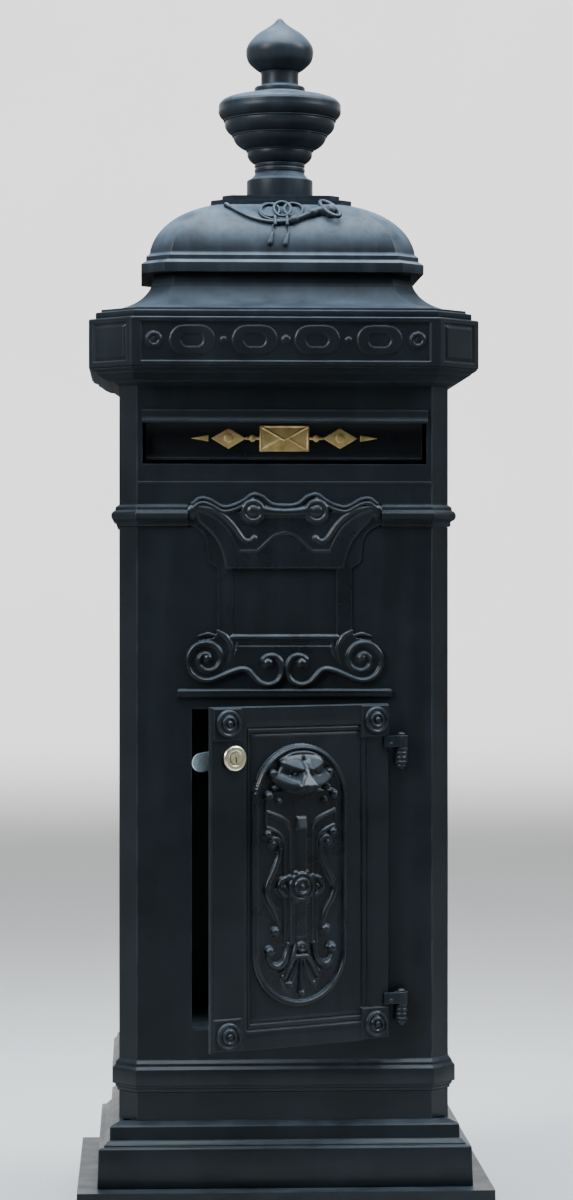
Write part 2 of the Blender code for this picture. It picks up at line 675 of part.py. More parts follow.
def build_door():
    panel_outline = rectangle((DOOR_LEFT, DOOR_BOTTOM), (DOOR_RIGHT, DOOR_TOP))
    lock_hole = circle((LOCK_X, LOCK_Z), LOCK_BARREL_RADIUS + GAP)
    panel = add_part("door_panel", plate_mesh([panel_outline, lock_hole], -DOOR_BACK, -DOOR_FACE, FRONT))
    field_y = DOOR_FACE + DOOR_FIELD_SINK
    stile = DOOR_FRAME_WIDTH + 0.0100
    recess = box_mesh((DOOR_LEFT + stile, DOOR_FACE - 0.01, DOOR_BOTTOM + DOOR_FRAME_WIDTH),
                      (DOOR_RIGHT - stile, field_y, DOOR_TOP - DOOR_FRAME_WIDTH))
    field_cutter = add_cutter("door_field", recess)
    cut(panel, field_cutter)

    back = -field_y + GAP
    front = back + TRIM_THICKNESS
    outline = stadium(MEDALLION_HALF_WIDTH, MEDALLION_HALF_HEIGHT, MEDALLION_Z)
    members = [panel, field_cutter, add_part("door_medallion", plate_mesh([outline], back, front, FRONT))]
    members.append(add_part("lion_mask", lion_mask_mesh(-front - GAP)))

    face = -DOOR_FACE + GAP
    boss = [(0.0, face + 0.0055), (0.0045, face + 0.0045), (0.0060, face + 0.0025),
            (0.0115, face + 0.0040), (0.0135, face + 0.0020), (0.0135, face), (0.0, face)]
    for row, z in (("top", DOOR_TOP - ROSETTE_INSET), ("bottom", DOOR_BOTTOM + ROSETTE_INSET)):
        for side, x in (("left", DOOR_LEFT + ROSETTE_INSET + 0.0020), ("right", DOOR_RIGHT - ROSETTE_INSET)):
            mesh = turned_forward(boss, x, z, segments=20)
            members.append(add_part("rosette_%s_%s" % (row, side), mesh))
    return members


def build_hinges():
    """Each hinge has a lug on the housing, and above it a leaf on the door; one pin joins them."""
    barrel = (HINGE_X, HINGE_Y)
    door_side = []
    lug_half = 0.0080
    root = FACE - GAP
    lug = [(HINGE_X + lug_half, root), (HINGE_X - lug_half, root)]
    lug += arc(barrel, HINGE_RADIUS, 160, 380, 12)
    strap_back = DOOR_FACE - GAP
    strap = [(DOOR_RIGHT - 0.0130, strap_back), (DOOR_RIGHT - 0.0130, strap_back - 0.0035)]
    strap += arc(barrel, HINGE_RADIUS, 190, 490, 14)
    strap = strap[:2] + [(HINGE_X - HINGE_RADIUS, strap_back - 0.0035)] + strap[2:]
    strap.append((HINGE_X - HINGE_RADIUS * 0.80, strap_back))
    for place, low in HINGE_BOTTOMS.items():
        middle = low + LUG_HEIGHT
        hole = circle(barrel, HINGE_PIN_RADIUS + GAP, 12)
        add_part("hinge_lug_" + place, plate_mesh([lug, hole], low, middle, PLAN))
        leaf = plate_mesh([strap, hole], middle + GAP, middle + LEAF_HEIGHT, PLAN)
        door_side.append(add_part("hinge_leaf_" + place, leaf))
        top = middle + LEAF_HEIGHT + GAP
        pin = [(0.0, top + 0.0030), (0.0035, top + 0.0024), (0.0042, top), (HINGE_PIN_RADIUS, top),
               (HINGE_PIN_RADIUS, low - 0.0020), (0.0, low - 0.0020)]
        mesh = turned_mesh(pin, segments=12)
        mesh.transform(Matrix.Translation((HINGE_X, HINGE_Y, 0)))
        door_side.append(add_part("hinge_pin_" + place, mesh, "zinc_steel"))
    return door_side


def build_lock():
    """A cam lock through the door: a fixed body and nut, and a plug that turns the cam."""
    seat = -DOOR_FACE + GAP
    front = seat + 0.0030
    tail = -LOCK_TAIL
    bore = PLUG_RADIUS + GAP
    body = [(bore, front), (LOCK_FACE_RADIUS - 0.0008, front), (LOCK_FACE_RADIUS, front - 0.0008),
            (LOCK_FACE_RADIUS, seat), (LOCK_BARREL_RADIUS, seat), (LOCK_BARREL_RADIUS, tail), (bore, tail)]
    fixed = [add_part("lock_body", turned_forward(body, LOCK_X, LOCK_Z, closed=True), "brass")]
    nut_loops = [circle((LOCK_X, LOCK_Z), 0.0140, 6), circle((LOCK_X, LOCK_Z), LOCK_BARREL_RADIUS + GAP)]
    nut_front = -DOOR_BACK - GAP
    nut = plate_mesh(nut_loops, nut_front - 0.0035, nut_front, FRONT)
    fixed.append(add_part("lock_nut", nut, "zinc_steel"))

    socket = CAM_SCREW_RADIUS + GAP
    depth = tail + 0.0080
    plug = [(0.0, front + 0.0003), (PLUG_RADIUS, front + 0.0003), (PLUG_RADIUS, tail), (socket, tail),
            (socket, depth), (0.0, depth)]
    plug = add_part("lock_plug", turned_forward(plug, LOCK_X, LOCK_Z), "brass")
    keyway = box_mesh((LOCK_X - 0.0008, DOOR_FACE - 0.02, LOCK_Z - 0.0045),
                      (LOCK_X + 0.0008, -front + 0.0050, LOCK_Z + 0.0015))
    keyway_cutter = add_cutter("keyway", keyway)
    cut(plug, keyway_cutter)

    cam_front = tail - GAP
    cam_back = cam_front - CAM_THICKNESS
    hub = (LOCK_X, LOCK_Z)
    tip = (LOCK_X - CAM_LENGTH + CAM_HALF_WIDTH, LOCK_Z)
    cam = arc(hub, CAM_HALF_WIDTH, -90, 90, 8) + arc(tip, CAM_HALF_WIDTH, 90, 270, 8)
    cam = plate_mesh([cam, circle(hub, socket, 12)], cam_back, cam_front, FRONT)
    turning = [plug, keyway_cutter, add_part("lock_cam", cam, "zinc_steel")]
    head = cam_back - GAP
    screw = [(0.0, tail + 0.0070), (CAM_SCREW_RADIUS, tail + 0.0070), (CAM_SCREW_RADIUS, head),
             (0.0048, head), (0.0042, head - 0.0028), (0.0, head - 0.0032)]
    mesh = turned_forward(screw, LOCK_X, LOCK_Z, segments=12)
    turning.append(add_part("cam_screw", mesh, "zinc_steel"))
    return fixed, turning


def build_door_assembly():
    members = build_door() + build_hinges()
    fixed, turning = build_lock()
    door_axis = add_axis("door_axis", (HINGE_X, HINGE_Y, DOOR_BOTTOM))
    lock_axis = add_axis("lock_axis", (LOCK_X, DOOR_FACE, LOCK_Z), parent=door_axis)
    attach(turning, lock_axis)
    attach(members + fixed, door_axis)
    lock_axis.rotation_euler.y = math.radians(-CAM_REST_ANGLE)
    door_axis.rotation_euler.z = math.radians(DOOR_REST_ANGLE)


clear_scene()
parts = make_collection(COLLECTION)
cutters = make_collection(COLLECTION + "_cutters")
build_base()
build_tower()
build_interior()
build_head()
build_flap()
build_roof()
build_finial()
build_trim()
build_door_assembly()
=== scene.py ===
"""Looks of the pedestal mailbox: detailed pieces, materials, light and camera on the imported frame."""
import json
import math

import bmesh
import bpy
import numpy as np
from mathutils import Matrix, Vector


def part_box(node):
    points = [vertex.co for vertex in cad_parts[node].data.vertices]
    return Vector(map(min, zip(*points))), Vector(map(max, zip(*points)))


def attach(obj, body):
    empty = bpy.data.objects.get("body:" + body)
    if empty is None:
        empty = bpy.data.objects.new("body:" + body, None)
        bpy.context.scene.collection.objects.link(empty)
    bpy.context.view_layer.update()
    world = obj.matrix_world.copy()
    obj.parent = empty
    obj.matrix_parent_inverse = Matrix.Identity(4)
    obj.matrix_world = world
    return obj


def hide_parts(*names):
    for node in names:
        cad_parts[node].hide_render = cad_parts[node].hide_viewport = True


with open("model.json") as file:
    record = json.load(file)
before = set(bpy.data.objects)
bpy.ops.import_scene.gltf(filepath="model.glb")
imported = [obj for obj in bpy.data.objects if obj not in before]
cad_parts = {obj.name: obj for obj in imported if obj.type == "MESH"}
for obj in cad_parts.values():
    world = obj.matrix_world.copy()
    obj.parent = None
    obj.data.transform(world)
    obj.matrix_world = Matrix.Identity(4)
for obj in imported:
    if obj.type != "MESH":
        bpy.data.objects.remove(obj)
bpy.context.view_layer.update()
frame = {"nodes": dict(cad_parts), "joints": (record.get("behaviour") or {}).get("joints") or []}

# Levels and sizes shared with the CAD, in metres.
FACE = -0.1130
BODY_HALF_WIDTH = 0.1655
BODY_HALF_DEPTH = 0.1130
BODY_CUT = 0.0180
CUT_GROWTH = 0.8
CARTOUCHE_SEAT = 0.0972
DOOR_FACE = -0.1190
MEDALLION_BACK = -0.1175
FRIEZE_HALF_WIDTH = 0.1959
FRIEZE_HALF_DEPTH = 0.1434
FRIEZE_CUT = 0.0423
FRIEZE_BOTTOM = 0.8577
FRIEZE_TOP = 0.9070
LID_RATIO = 0.634
MM = 0.001
DEEP = -50.0


# ---------------------------------------------------------------- frame helpers

def joint(name):
    return next(j for j in frame["joints"] if j["name"] == name)


def turn_about(point, axis, degrees):
    place = Matrix.Translation(point)
    return place @ Matrix.Rotation(math.radians(degrees), 4, Vector(axis)) @ place.inverted()


HINGE = joint("door_hinge")
DOOR_OPEN = turn_about(HINGE["pos_m"], HINGE["axis"], -HINGE["range_deg"][0])


# ---------------------------------------------------------------- mesh helpers

def link(name, data):
    obj = bpy.data.objects.new(name, data)
    bpy.context.scene.collection.objects.link(obj)
    return obj


def piece(name, verts, faces, placing=None, sharp=60.0):
    """A smooth-shaded mesh object; edges sharper than the angle stay crisp."""
    mesh = bpy.data.meshes.new(name)
    verts = verts.tolist() if isinstance(verts, np.ndarray) else verts
    faces = faces.tolist() if isinstance(faces, np.ndarray) else faces
    mesh.from_pydata(verts, [], faces)
    if placing is not None:
        mesh.transform(placing)
    mesh.validate()
    mesh.shade_smooth()
    mesh.set_sharp_from_angle(angle=math.radians(sharp))
    return link(name, mesh)


def settle(obj, material, body, slot, *nodes):
    """Give a piece its material and its body, and hide the CAD nodes it stands for; the slot argument is not
    used.
    """
    obj.data.materials.clear()
    obj.data.materials.append(material)
    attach(obj, body)
    if nodes:
        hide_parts(*nodes)
    return obj


def joined(name, parts):
    """Several meshes as one object."""
    bm = bmesh.new()
    for part in parts:
        bm.from_mesh(part.data)
        mesh = part.data
        bpy.data.objects.remove(part)
        bpy.data.meshes.remove(mesh)
    mesh = bpy.data.meshes.new(name)
    bm.to_mesh(mesh)
    bm.free()
    return link(name, mesh)


def face_outward(obj):
    bm = bmesh.new()
    bm.from_mesh(obj.data)
    bmesh.ops.recalc_face_normals(bm, faces=bm.faces)
    bm.to_mesh(obj.data)
    bm.free()
    return obj


def mm(points, lift=0.0):
    """Points given in millimetres, in metres, their second measure counted from a level."""
    return [(a * MM, b * MM + lift) for a, b in points]


def arc(centre, radii, start, end, count):
    """Points along an arc of a circle or an ellipse, its ends in radians."""
    return [(centre[0] + radii[0] * math.cos(a), centre[1] + radii[1] * math.sin(a))
            for a in np.linspace(start, end, count)]


def oblong(left, right, low, high):
    return [(left, low), (right, low), (right, high), (left, high)]


def mirrored(half):
    """An outline from its right or left half, the other half being its mirror image."""
    return half + [(-x, z) for x, z in reversed(half)]


def soften(points, radius, closed=False, steps=4):
    """Round the corners of a line of 2-D points."""
    count = len(points)
    result = []
    for i, here in enumerate(points):
        if not closed and i in (0, count - 1):
            result.append(here)
            continue
        p, a, b = Vector(here), Vector(points[i - 1]), Vector(points[(i + 1) % count])
        u, v = (a - p), (b - p)
        if u.length < 1e-7 or v.length < 1e-7 or u.angle(v) > math.radians(172):
            result.append(here)
            continue
        reach = min(radius / max(math.tan(u.angle(v) / 2), 0.2), 0.45 * u.length, 0.45 * v.length)
        start, end = p + u.normalized() * reach, p + v.normalized() * reach
        for step in range(steps + 1):
            t = step / steps
            spot = start * (1 - t) ** 2 + p * 2 * t * (1 - t) + end * t * t
            result.append((spot.x, spot.y))
    return result


def smooth_line(points, per=8):
    """A Catmull-Rom line through points of any dimension, a number of steps for each span."""
    pts = np.array(points, float)
    if len(pts) < 3:
        t = np.linspace(0, 1, per + 1)[:, None]
        return pts[0] * (1 - t) + pts[-1] * t
    padded = np.vstack([2 * pts[0] - pts[1], pts, 2 * pts[-1] - pts[-2]])
    rows = []
    for i in range(1, len(padded) - 2):
        a, b, c, d = padded[i - 1:i + 3]
        for t in np.arange(per) / per:
            rows.append(0.5 * (2 * b + (c - a) * t + (2 * a - 5 * b + 4 * c - d) * t * t
                               + (3 * b - a - 3 * c + d) * t ** 3))
    rows.append(pts[-1])
    return np.array(rows)


def rings_to_faces(rings, around, closed=False):
    """Faces between rings of equal size; unless the rings close on themselves, both ends get a face."""
    faces = []
    last = rings if closed else rings - 1
    for r in range(last):
        lower, upper = r * around, ((r + 1) % rings) * around
        for k in range(around):
            n = (k + 1) % around
            faces.append((lower + k, lower + n, upper + n, upper + k))
    if not closed:
        faces.append(tuple(range(around - 1, -1, -1)))
        faces.append(tuple(range((rings - 1) * around, rings * around)))
    return faces


def turned(name, profile, segments=64, closed=False, placing=None, sharp=60.0):
    """A profile of (radius, height) turned about Z; a zero radius closes on the axis."""
    verts, rows = [], []
    for radius, height in profile:
        if radius < 1e-6:
            rows.append([len(verts)] * segments)
            verts.append((0.0, 0.0, height))
            continue
        rows.append(list(range(len(verts), len(verts) + segments)))
        for k in range(segments):
            angle = 2 * math.pi * k / segments
            verts.append((radius * math.cos(angle), radius * math.sin(angle), height))
    faces = []
    pairs = list(zip(rows, rows[1:])) + ([(rows[-1], rows[0])] if closed else [])
    for low, high in pairs:
        for k in range(segments):
            n = (k + 1) % segments
            face = [low[k], low[n], high[n], high[k]]
            face = [v for i, v in enumerate(face) if v not in face[:i]]
            if len(face) > 2:
                faces.append(face)
    return piece(name, verts, faces, placing, sharp)


def forward(x, y, z):
    """Turns a lathe's axis to point out of the front, at a place on it."""
    return Matrix.Translation((x, y, z)) @ Matrix.Rotation(math.radians(90), 4, "X")


def cut_corners(half_width, half_depth, cut, radius=0.0012, steps=2):
    """A rectangle with cut corners in plan, its eight corners slightly rounded."""
    w, d, c = half_width, half_depth, cut
    outline = [(w, -d + c), (w, d - c), (w - c, d), (-w + c, d),
               (-w, d - c), (-w, -d + c), (-w + c, -d), (w - c, -d)]
    return soften(outline, radius, closed=True, steps=steps)


def loft(name, sections, closed=True):
    around = len(sections[0][0])
    verts = [(x, y, z) for outline, z in sections for x, y in outline]
    return piece(name, verts, rings_to_faces(len(sections), around, closed))


def tube(name, points, radii, around=12):
    """A round bar along a line, its radius following the line; both ends are rounded off."""
    pts = np.array(points, float)
    radii = np.interp(np.linspace(0, 1, len(pts)), np.linspace(0, 1, len(radii)), radii)
    tangents = np.gradient(pts, axis=0)
    tangents /= np.linalg.norm(tangents, axis=1)[:, None]
    up = np.array([0.0, -1.0, 0.02])
    rings = []
    stations = [(0, -0.85, 0.5), (0, -0.45, 0.87)] + [(i, 0.0, 1.0) for i in range(len(pts))]
    stations += [(len(pts) - 1, 0.45, 0.87), (len(pts) - 1, 0.85, 0.5)]
    for i, ahead, share in stations:
        t = tangents[i]
        side = np.cross(t, up)
        side /= np.linalg.norm(side)
        out = np.cross(side, t)
        r = radii[i]
        for k in range(around):
            angle = 2 * math.pi * k / around
            rings.append(pts[i] + t * ahead * r
                         + share * r * (math.cos(angle) * side + math.sin(angle) * out))
    return face_outward(piece(name, np.array(rings), rings_to_faces(len(stations), around), sharp=180.0))


# ---------------------------------------------------------------- cast reliefs

def swell(away, rise, reach):
    """A round back from its top (0) to its foot (1), falling steeply beyond the foot."""
    return rise * np.sqrt(np.clip(1 - away ** 2, 0, 1)) - 3 * reach * np.clip(away - 1, 0, 9)


class Field:
    """A cast relief as heights over a grid of (x, z), all in millimetres."""

    def __init__(self, xs, zs, level=DEEP):
        self.xs, self.zs = np.array(xs, float), np.array(zs, float)
        self.X, self.Z = np.meshgrid(self.xs, self.zs)
        self.h = np.full(self.X.shape, float(level))

    def window(self, points, reach):
        points = np.array(points, float)
        low, high = points.min(axis=0) - reach, points.max(axis=0) + reach
        i = slice(*np.searchsorted(self.zs, (low[1], high[1])))
        j = slice(*np.searchsorted(self.xs, (low[0], high[0])))
        return (i, j)

    def lay(self, where, heights, blend=0.0):
        """Keep the higher surface, with a small fillet where a blend is given."""
        old = self.h[where]
        if blend > 0:
            gap = np.clip(1 - np.abs(old - heights) / blend, 0, 1)
            self.h[where] = np.maximum(old, heights) + gap * gap * blend / 4
        else:
            self.h[where] = np.maximum(old, heights)

    def distance(self, where, line):
        """Distance to a line of points, and the share of its length at the nearest one."""
        X, Z = self.X[where], self.Z[where]
        best, share = np.full(X.shape, 1e9), np.zeros(X.shape)
        spans = len(line) - 1
        for k in range(spans):
            a, d = line[k], line[k + 1] - line[k]
            t = np.clip(((X - a[0]) * d[0] + (Z - a[1]) * d[1]) / max(d @ d, 1e-9), 0, 1)
            away = np.hypot(X - a[0] - t * d[0], Z - a[1] - t * d[1])
            nearer = away < best
            best = np.where(nearer, away, best)
            share = np.where(nearer, (k + t) / spans, share)
        return best, share

    def rope(self, points, radius, base, rise, mirror=True, smooth=True):
        """A rounded bar on the surface; radius and rise may each be a list along it."""
        if mirror:
            self.rope([(-x, z) for x, z in points], radius, base, rise, False, smooth)
        line = smooth_line(points) if smooth else np.array(points, float)
        radii, rises = np.atleast_1d(radius), np.atleast_1d(rise)
        where = self.window(line, radii.max() + 2)
        away, share = self.distance(where, line)
        r = np.interp(share, np.linspace(0, 1, len(radii)), radii)
        lift = np.interp(share, np.linspace(0, 1, len(rises)), rises)
        across = away / r
        self.lay(where, base + swell(across, lift, r))

    def bar(self, points, radius, base, rise):
        """A rope with straight spans, on one side only."""
        self.rope(points, radius, base, rise, mirror=False, smooth=False)

    def dome(self, x, z, rx, rz, base, rise, mirror=True, blend=0.0):
        """A swelling boss, an ellipse in outline."""
        if mirror:
            self.dome(-x, z, rx, rz, base, rise, False, blend)
        where = self.window([(x - rx, z - rz), (x + rx, z + rz)], 2)
        away = np.hypot((self.X[where] - x) / rx, (self.Z[where] - z) / rz)
        self.lay(where, base + swell(away, rise, min(rx, rz)), blend)

    def ring(self, x, z, big, small, base, rise, mirror=True):
        if mirror:
            self.ring(-x, z, big, small, base, rise, False)
        where = self.window([(x - big, z - big), (x + big, z + big)], small + 2)
        away = np.abs(np.hypot(self.X[where] - x, self.Z[where] - z) - big) / small
        self.lay(where, base + swell(away, rise, small))

    def inside(self, where, outline):
        """How far each grid point lies inside a closed outline; outside it is below zero."""
        line = np.vstack([outline, outline[:1]]).astype(float)
        away, _ = self.distance(where, line)
        X, Z = self.X[where], self.Z[where]
        within = np.zeros(X.shape, bool)
        for a, b in zip(line, line[1:]):
            if a[1] == b[1]:
                continue
            crosses = (a[1] > Z) != (b[1] > Z)
            within ^= crosses & (X < (b[0] - a[0]) * (Z - a[1]) / (b[1] - a[1]) + a[0])
        return np.where(within, away, -away)

    def plate(self, outline, top, edge=1.0, fall=4.0, lean=0.0):
        """A plate whose edge is rounded over; its top is one height, or ((z, z), (height, height))."""
        where = self.window(outline, 3)
        if not np.isscalar(top):
            top = np.interp(self.Z[where], *top) - lean * np.abs(self.X[where])
        depth = self.inside(where, outline)
        over = np.clip(edge - depth, 0, None)
        rounded = edge - np.sqrt(np.clip(edge ** 2 - np.minimum(over, edge) ** 2, 0, None))
        self.lay(where, top - rounded - fall * np.clip(over - edge, 0, 30))

    def sink(self, outline, depth, edge=0.8):
        """Press an outline into the surface, with sloping sides."""
        where = self.window(outline, 3)
        share = np.clip(self.inside(where, outline) / edge + 0.5, 0, 1)
        self.h[where] -= depth * share * share * (3 - 2 * share)

    def blur(self, rounds):
        """Soften the surface, leaving its rim and the empty ground alone."""
        for _ in range(rounds):
            h = self.h
            near = np.stack([h[:-2, 1:-1], h[2:, 1:-1], h[1:-1, :-2], h[1:-1, 2:]])
            inner = h[1:-1, 1:-1]
            h[1:-1, 1:-1] = np.where(near.min(axis=0) > -2.0, inner / 2 + near.sum(axis=0) / 8, inner)

    def dent(self, x, z, rx, rz, depth, mirror=True):
        if mirror:
            self.dent(-x, z, rx, rz, depth, False)
        self.h -= depth * np.exp(-((self.X - x) / rx) ** 2 - ((self.Z - z) / rz) ** 2)

    def cast(self, name, spot, cut=-0.5, back=-1.2, placing=None):
        """The part of the relief above the cut, with its rim carried back into the wall."""
        solid = self.h > cut
        cell = solid[:-1, :-1] & solid[1:, :-1] & solid[:-1, 1:] & solid[1:, 1:]
        used = np.zeros(solid.shape, bool)
        used[:-1, :-1] |= cell
        used[1:, :-1] |= cell
        used[:-1, 1:] |= cell
        used[1:, 1:] |= cell
        index = np.full(solid.shape, -1)
        index[used] = np.arange(used.sum())
        i, j = np.nonzero(cell)
        faces = np.stack([index[i, j], index[i, j + 1], index[i + 1, j + 1], index[i + 1, j]], 1)
        x, z, h = self.X[used], self.Z[used], self.h[used]
        verts = spot(x, z, h)
        edges = np.vstack([faces[:, [0, 1]], faces[:, [1, 2]], faces[:, [2, 3]], faces[:, [3, 0]]])
        keys = edges[:, 0] * len(x) + edges[:, 1]
        rim = edges[~np.isin(edges[:, 1] * len(x) + edges[:, 0], keys)]
        ids, inverse = np.unique(rim, return_inverse=True)
        inverse = inverse.reshape(rim.shape) + len(x)
        walls = np.stack([rim[:, 1], rim[:, 0], inverse[:, 0], inverse[:, 1]], 1)
        verts = np.vstack([verts, spot(x[ids], z[ids], np.full(len(ids), back))])
        return piece(name, verts, np.vstack([faces, walls]), placing, 180.0)


def grid(low, high, step):
    return np.linspace(low, high, int(round((high - low) / step)) + 1)


def lines(low, high, marks, step):
    """A grid that is fine around its marks and coarse between them."""
    near = (-1.4, -0.9, -0.45, 0.0, 0.45, 0.9, 1.4)
    values = list(grid(low, high, step)) + [m + n for m in marks for n in near]
    values = sorted(v for v in values if low <= v <= high)
    kept = [values[0]]
    for v in values[1:]:
        if v - kept[-1] > 0.2:
            kept.append(v)
    kept[-1] = high
    return kept


def on_front(plane):
    """Places grid points on a plane parallel to the front, heights coming forward."""
    return lambda x, z, h: np.stack([x * MM, plane - h * MM, z * MM], 1)


# ---------------------------------------------------------------- materials

def shader(name):
    material = bpy.data.materials.new(name)
    material.use_nodes = True
    tree = material.node_tree
    tree.nodes.clear()
    output = tree.nodes.new("ShaderNodeOutputMaterial")
    principled = tree.nodes.new("ShaderNodeBsdfPrincipled")
    tree.links.new(principled.outputs["BSDF"], output.inputs["Surface"])
    return material, tree, principled


class Nodes:
    """Short calls for the few node kinds the finishes use."""

    def __init__(self, tree):
        self.tree = tree

    def add(self, kind, inputs=None, **settings):
        node = self.tree.nodes.new(kind)
        for key, value in settings.items():
            setattr(node, key, value)
        for key, value in (inputs or {}).items():
            socket = node.inputs[key]
            if isinstance(value, bpy.types.NodeSocket):
                self.tree.links.new(value, socket)
            else:
                socket.default_value = value
        return node

    def noise(self, vector, scale, detail=3.0, rough=0.55):
        node = self.add("ShaderNodeTexNoise", {"Vector": vector, "Scale": scale,
                                               "Detail": detail, "Roughness": rough})
        return node.outputs["Fac"]

    def spread(self, value, low, high, out_low=0.0, out_high=1.0):
        node = self.add("ShaderNodeMapRange", {"Value": value, "From Min": low, "From Max": high,
                                               "To Min": out_low, "To Max": out_high})
        return node.outputs["Result"]

    def maths(self, operation, a, b=0.0, c=0.0):
        return self.add("ShaderNodeMath", {0: a, 1: b, 2: c}, operation=operation).outputs[0]

    def mix(self, factor, a, b):
        node = self.add("ShaderNodeMix", {"Factor": factor, 6: a, 7: b}, data_type="RGBA")
        return node.outputs[2]

    def bump(self, height, strength, distance, normal=None):
        inputs = {"Height": height, "Strength": strength, "Distance": distance}
        if normal is not None:
            inputs["Normal"] = normal
        return self.add("ShaderNodeBump", inputs).outputs["Normal"]


def edge_mask(n, radius):
    """Where the surface turns sharply, from the angle to a rounded normal."""
    soft = n.add("ShaderNodeBevel", {"Radius": radius}, samples=4).outputs["Normal"]
    flat = n.add("ShaderNodeNewGeometry").outputs["Normal"]
    dot = n.add("ShaderNodeVectorMath", {0: soft, 1: flat}, operation="DOT_PRODUCT").outputs["Value"]
    return n.spread(dot, 0.995, 0.90)


def paint(name, tone, dust_and_sheen, wear, roughness, peel=0.10, cast=0.16, slope=0.40, shine=0.20):
    """Satin paint on cast metal: orange peel, cast waviness, dust lying on upward faces and rubbed edges; the
    dust colour on upward faces is also a painted sky highlight.
    """
    material, tree, p = shader(name)
    n = Nodes(tree)
    place = n.add("ShaderNodeTexCoord").outputs["Object"]
    broad = n.noise(place, 7.0, 4.0)
    patch = n.noise(place, 42.0, 4.0, 0.6)
    fine = n.noise(place, 520.0, 2.0)
    lumps = n.noise(place, 160.0, 3.0)
    lighter = tuple(v * 1.9 + 0.001 for v in tone[:3]) + (1.0,)
    colour = n.mix(n.spread(broad, 0.35, 0.70), tone, lighter)
    up = n.add("ShaderNodeNewGeometry").outputs["Normal"]
    up = n.add("ShaderNodeSeparateXYZ", {0: up}).outputs["Z"]
    # Upward faces take the dust colour: real dust, and also a painted sky highlight on tops and slopes.
    level = n.spread(up, slope, 0.98)
    upward_dust_and_sheen = n.maths("MULTIPLY", level, n.spread(patch, 0.30, 0.72, 0.25, 1.0))
    streak_place = n.add("ShaderNodeVectorMath", {0: place, 1: (38.0, 38.0, 3.0)}, operation="MULTIPLY")
    streak = n.noise(streak_place.outputs["Vector"], 1.0, 3.0)
    film = n.maths("MULTIPLY", n.spread(streak, 0.50, 0.80), 0.06)
    # This mixes in the dust colour: dust streaks, plus dust and painted sky highlight on upward faces.
    dust_and_sheen_cover = n.maths("MINIMUM", n.maths("ADD", n.maths("MULTIPLY", upward_dust_and_sheen, 0.62), film), 0.9)
    colour = n.mix(dust_and_sheen_cover, colour, dust_and_sheen)
    rubbed = n.maths("MULTIPLY", edge_mask(n, 0.0014), n.spread(patch, 0.36, 0.62, 0.15, 0.75))
    colour = n.mix(rubbed, colour, wear)
    rough = n.maths("ADD", n.spread(patch, 0.25, 0.75, -0.05, 0.09), roughness)
    rough = n.maths("ADD", rough, n.maths("MULTIPLY", dust_and_sheen_cover, 0.10))
    rough = n.maths("ADD", rough, n.spread(up, -0.10, -0.70, 0.0, 0.60))
    normal = n.bump(lumps, cast, 0.0006)
    normal = n.bump(fine, peel, 0.0003, normal)
    tree.links.new(colour, p.inputs["Base Color"])
    tree.links.new(rough, p.inputs["Roughness"])
    tree.links.new(normal, p.inputs["Normal"])
    p.inputs["Specular IOR Level"].default_value = shine
    return material


def metal(name, tone, dark, roughness, grain=(1.0, 1.0, 1.0), scratch=0.10, metallic=1.0):
    """Bare metal: tarnish in patches, fine brushing along the grain, brighter rubbed edges."""
    material, tree, p = shader(name)
    n = Nodes(tree)
    place = n.add("ShaderNodeTexCoord").outputs["Object"]
    patch = n.noise(place, 90.0, 4.0, 0.62)
    stretched = n.add("ShaderNodeVectorMath", {0: place, 1: grain}, operation="MULTIPLY").outputs["Vector"]
    marks = n.noise(stretched, 420.0, 3.0, 0.7)
    colour = n.mix(n.spread(patch, 0.36, 0.68), tone, dark)
    bright = tuple(min(1.0, v * 1.25 + 0.02) for v in tone[:3]) + (1.0,)
    colour = n.mix(n.maths("MULTIPLY", edge_mask(n, 0.0006), 0.6), colour, bright)
    rough = n.maths("ADD", n.spread(marks, 0.2, 0.8, -0.08, 0.12), roughness)
    rough = n.maths("ADD", rough, n.spread(patch, 0.4, 0.8, 0.0, 0.12))
    normal = n.bump(marks, scratch, 0.0002)
    tree.links.new(colour, p.inputs["Base Color"])
    tree.links.new(rough, p.inputs["Roughness"])
    tree.links.new(normal, p.inputs["Normal"])
    p.inputs["Metallic"].default_value = metallic
    return material


# Dust on the black paint's upward faces; its bluish colour is also a painted sky highlight.
DUST_AND_SKY_SHEEN = (0.060, 0.076, 0.094, 1.0)
WEAR = (0.042, 0.054, 0.067, 1.0)
# Dust on the roof's upward faces, far lighter and bluer than elsewhere: a painted sky highlight on the dome,
# finial and horn.
ROOF_DUST_AND_SKY_SHEEN = (0.220, 0.290, 0.375, 1.0)
# Near-black dust colour for the flap inside the slot: painted shade.
SLOT_SHADED_DUST = (0.020, 0.023, 0.027, 1.0)
# Dust on the reliefs' upward slopes, made lighter as a painted highlight.
RELIEF_DUST_AND_SHEEN = (0.090, 0.118, 0.150, 1.0)
# Dust on the cove's upward-facing lower part; its colour is also a painted sheen that lightens that part.
COVE_DUST_AND_SHEEN = (0.070, 0.092, 0.118, 1.0)
BLACK = paint("satin_black_paint", (0.0040, 0.0056, 0.0070, 1.0), DUST_AND_SKY_SHEEN, WEAR, 0.36)
# The roof paint: a lighter copy of the black paint, its dust colour on all but steep faces a painted sky
# highlight.
ROOF = paint("roof_paint_dust_and_painted_sky_sheen", (0.0070, 0.0095, 0.0125, 1.0), ROOF_DUST_AND_SKY_SHEEN, WEAR, 0.40, slope=0.15)
# The flap's paint: a darker copy of the black paint with near-black dust, painted shade inside the slot.
DARK = paint("slot_paint_painted_shade", (0.0020, 0.0025, 0.0032, 1.0), SLOT_SHADED_DUST, WEAR, 0.30, 0.06, 0.05)
BRASS = metal("worn_brass", (0.90, 0.86, 0.62, 1.0), (0.60, 0.53, 0.32, 1.0), 0.27, (1.0, 1.0, 6.0))
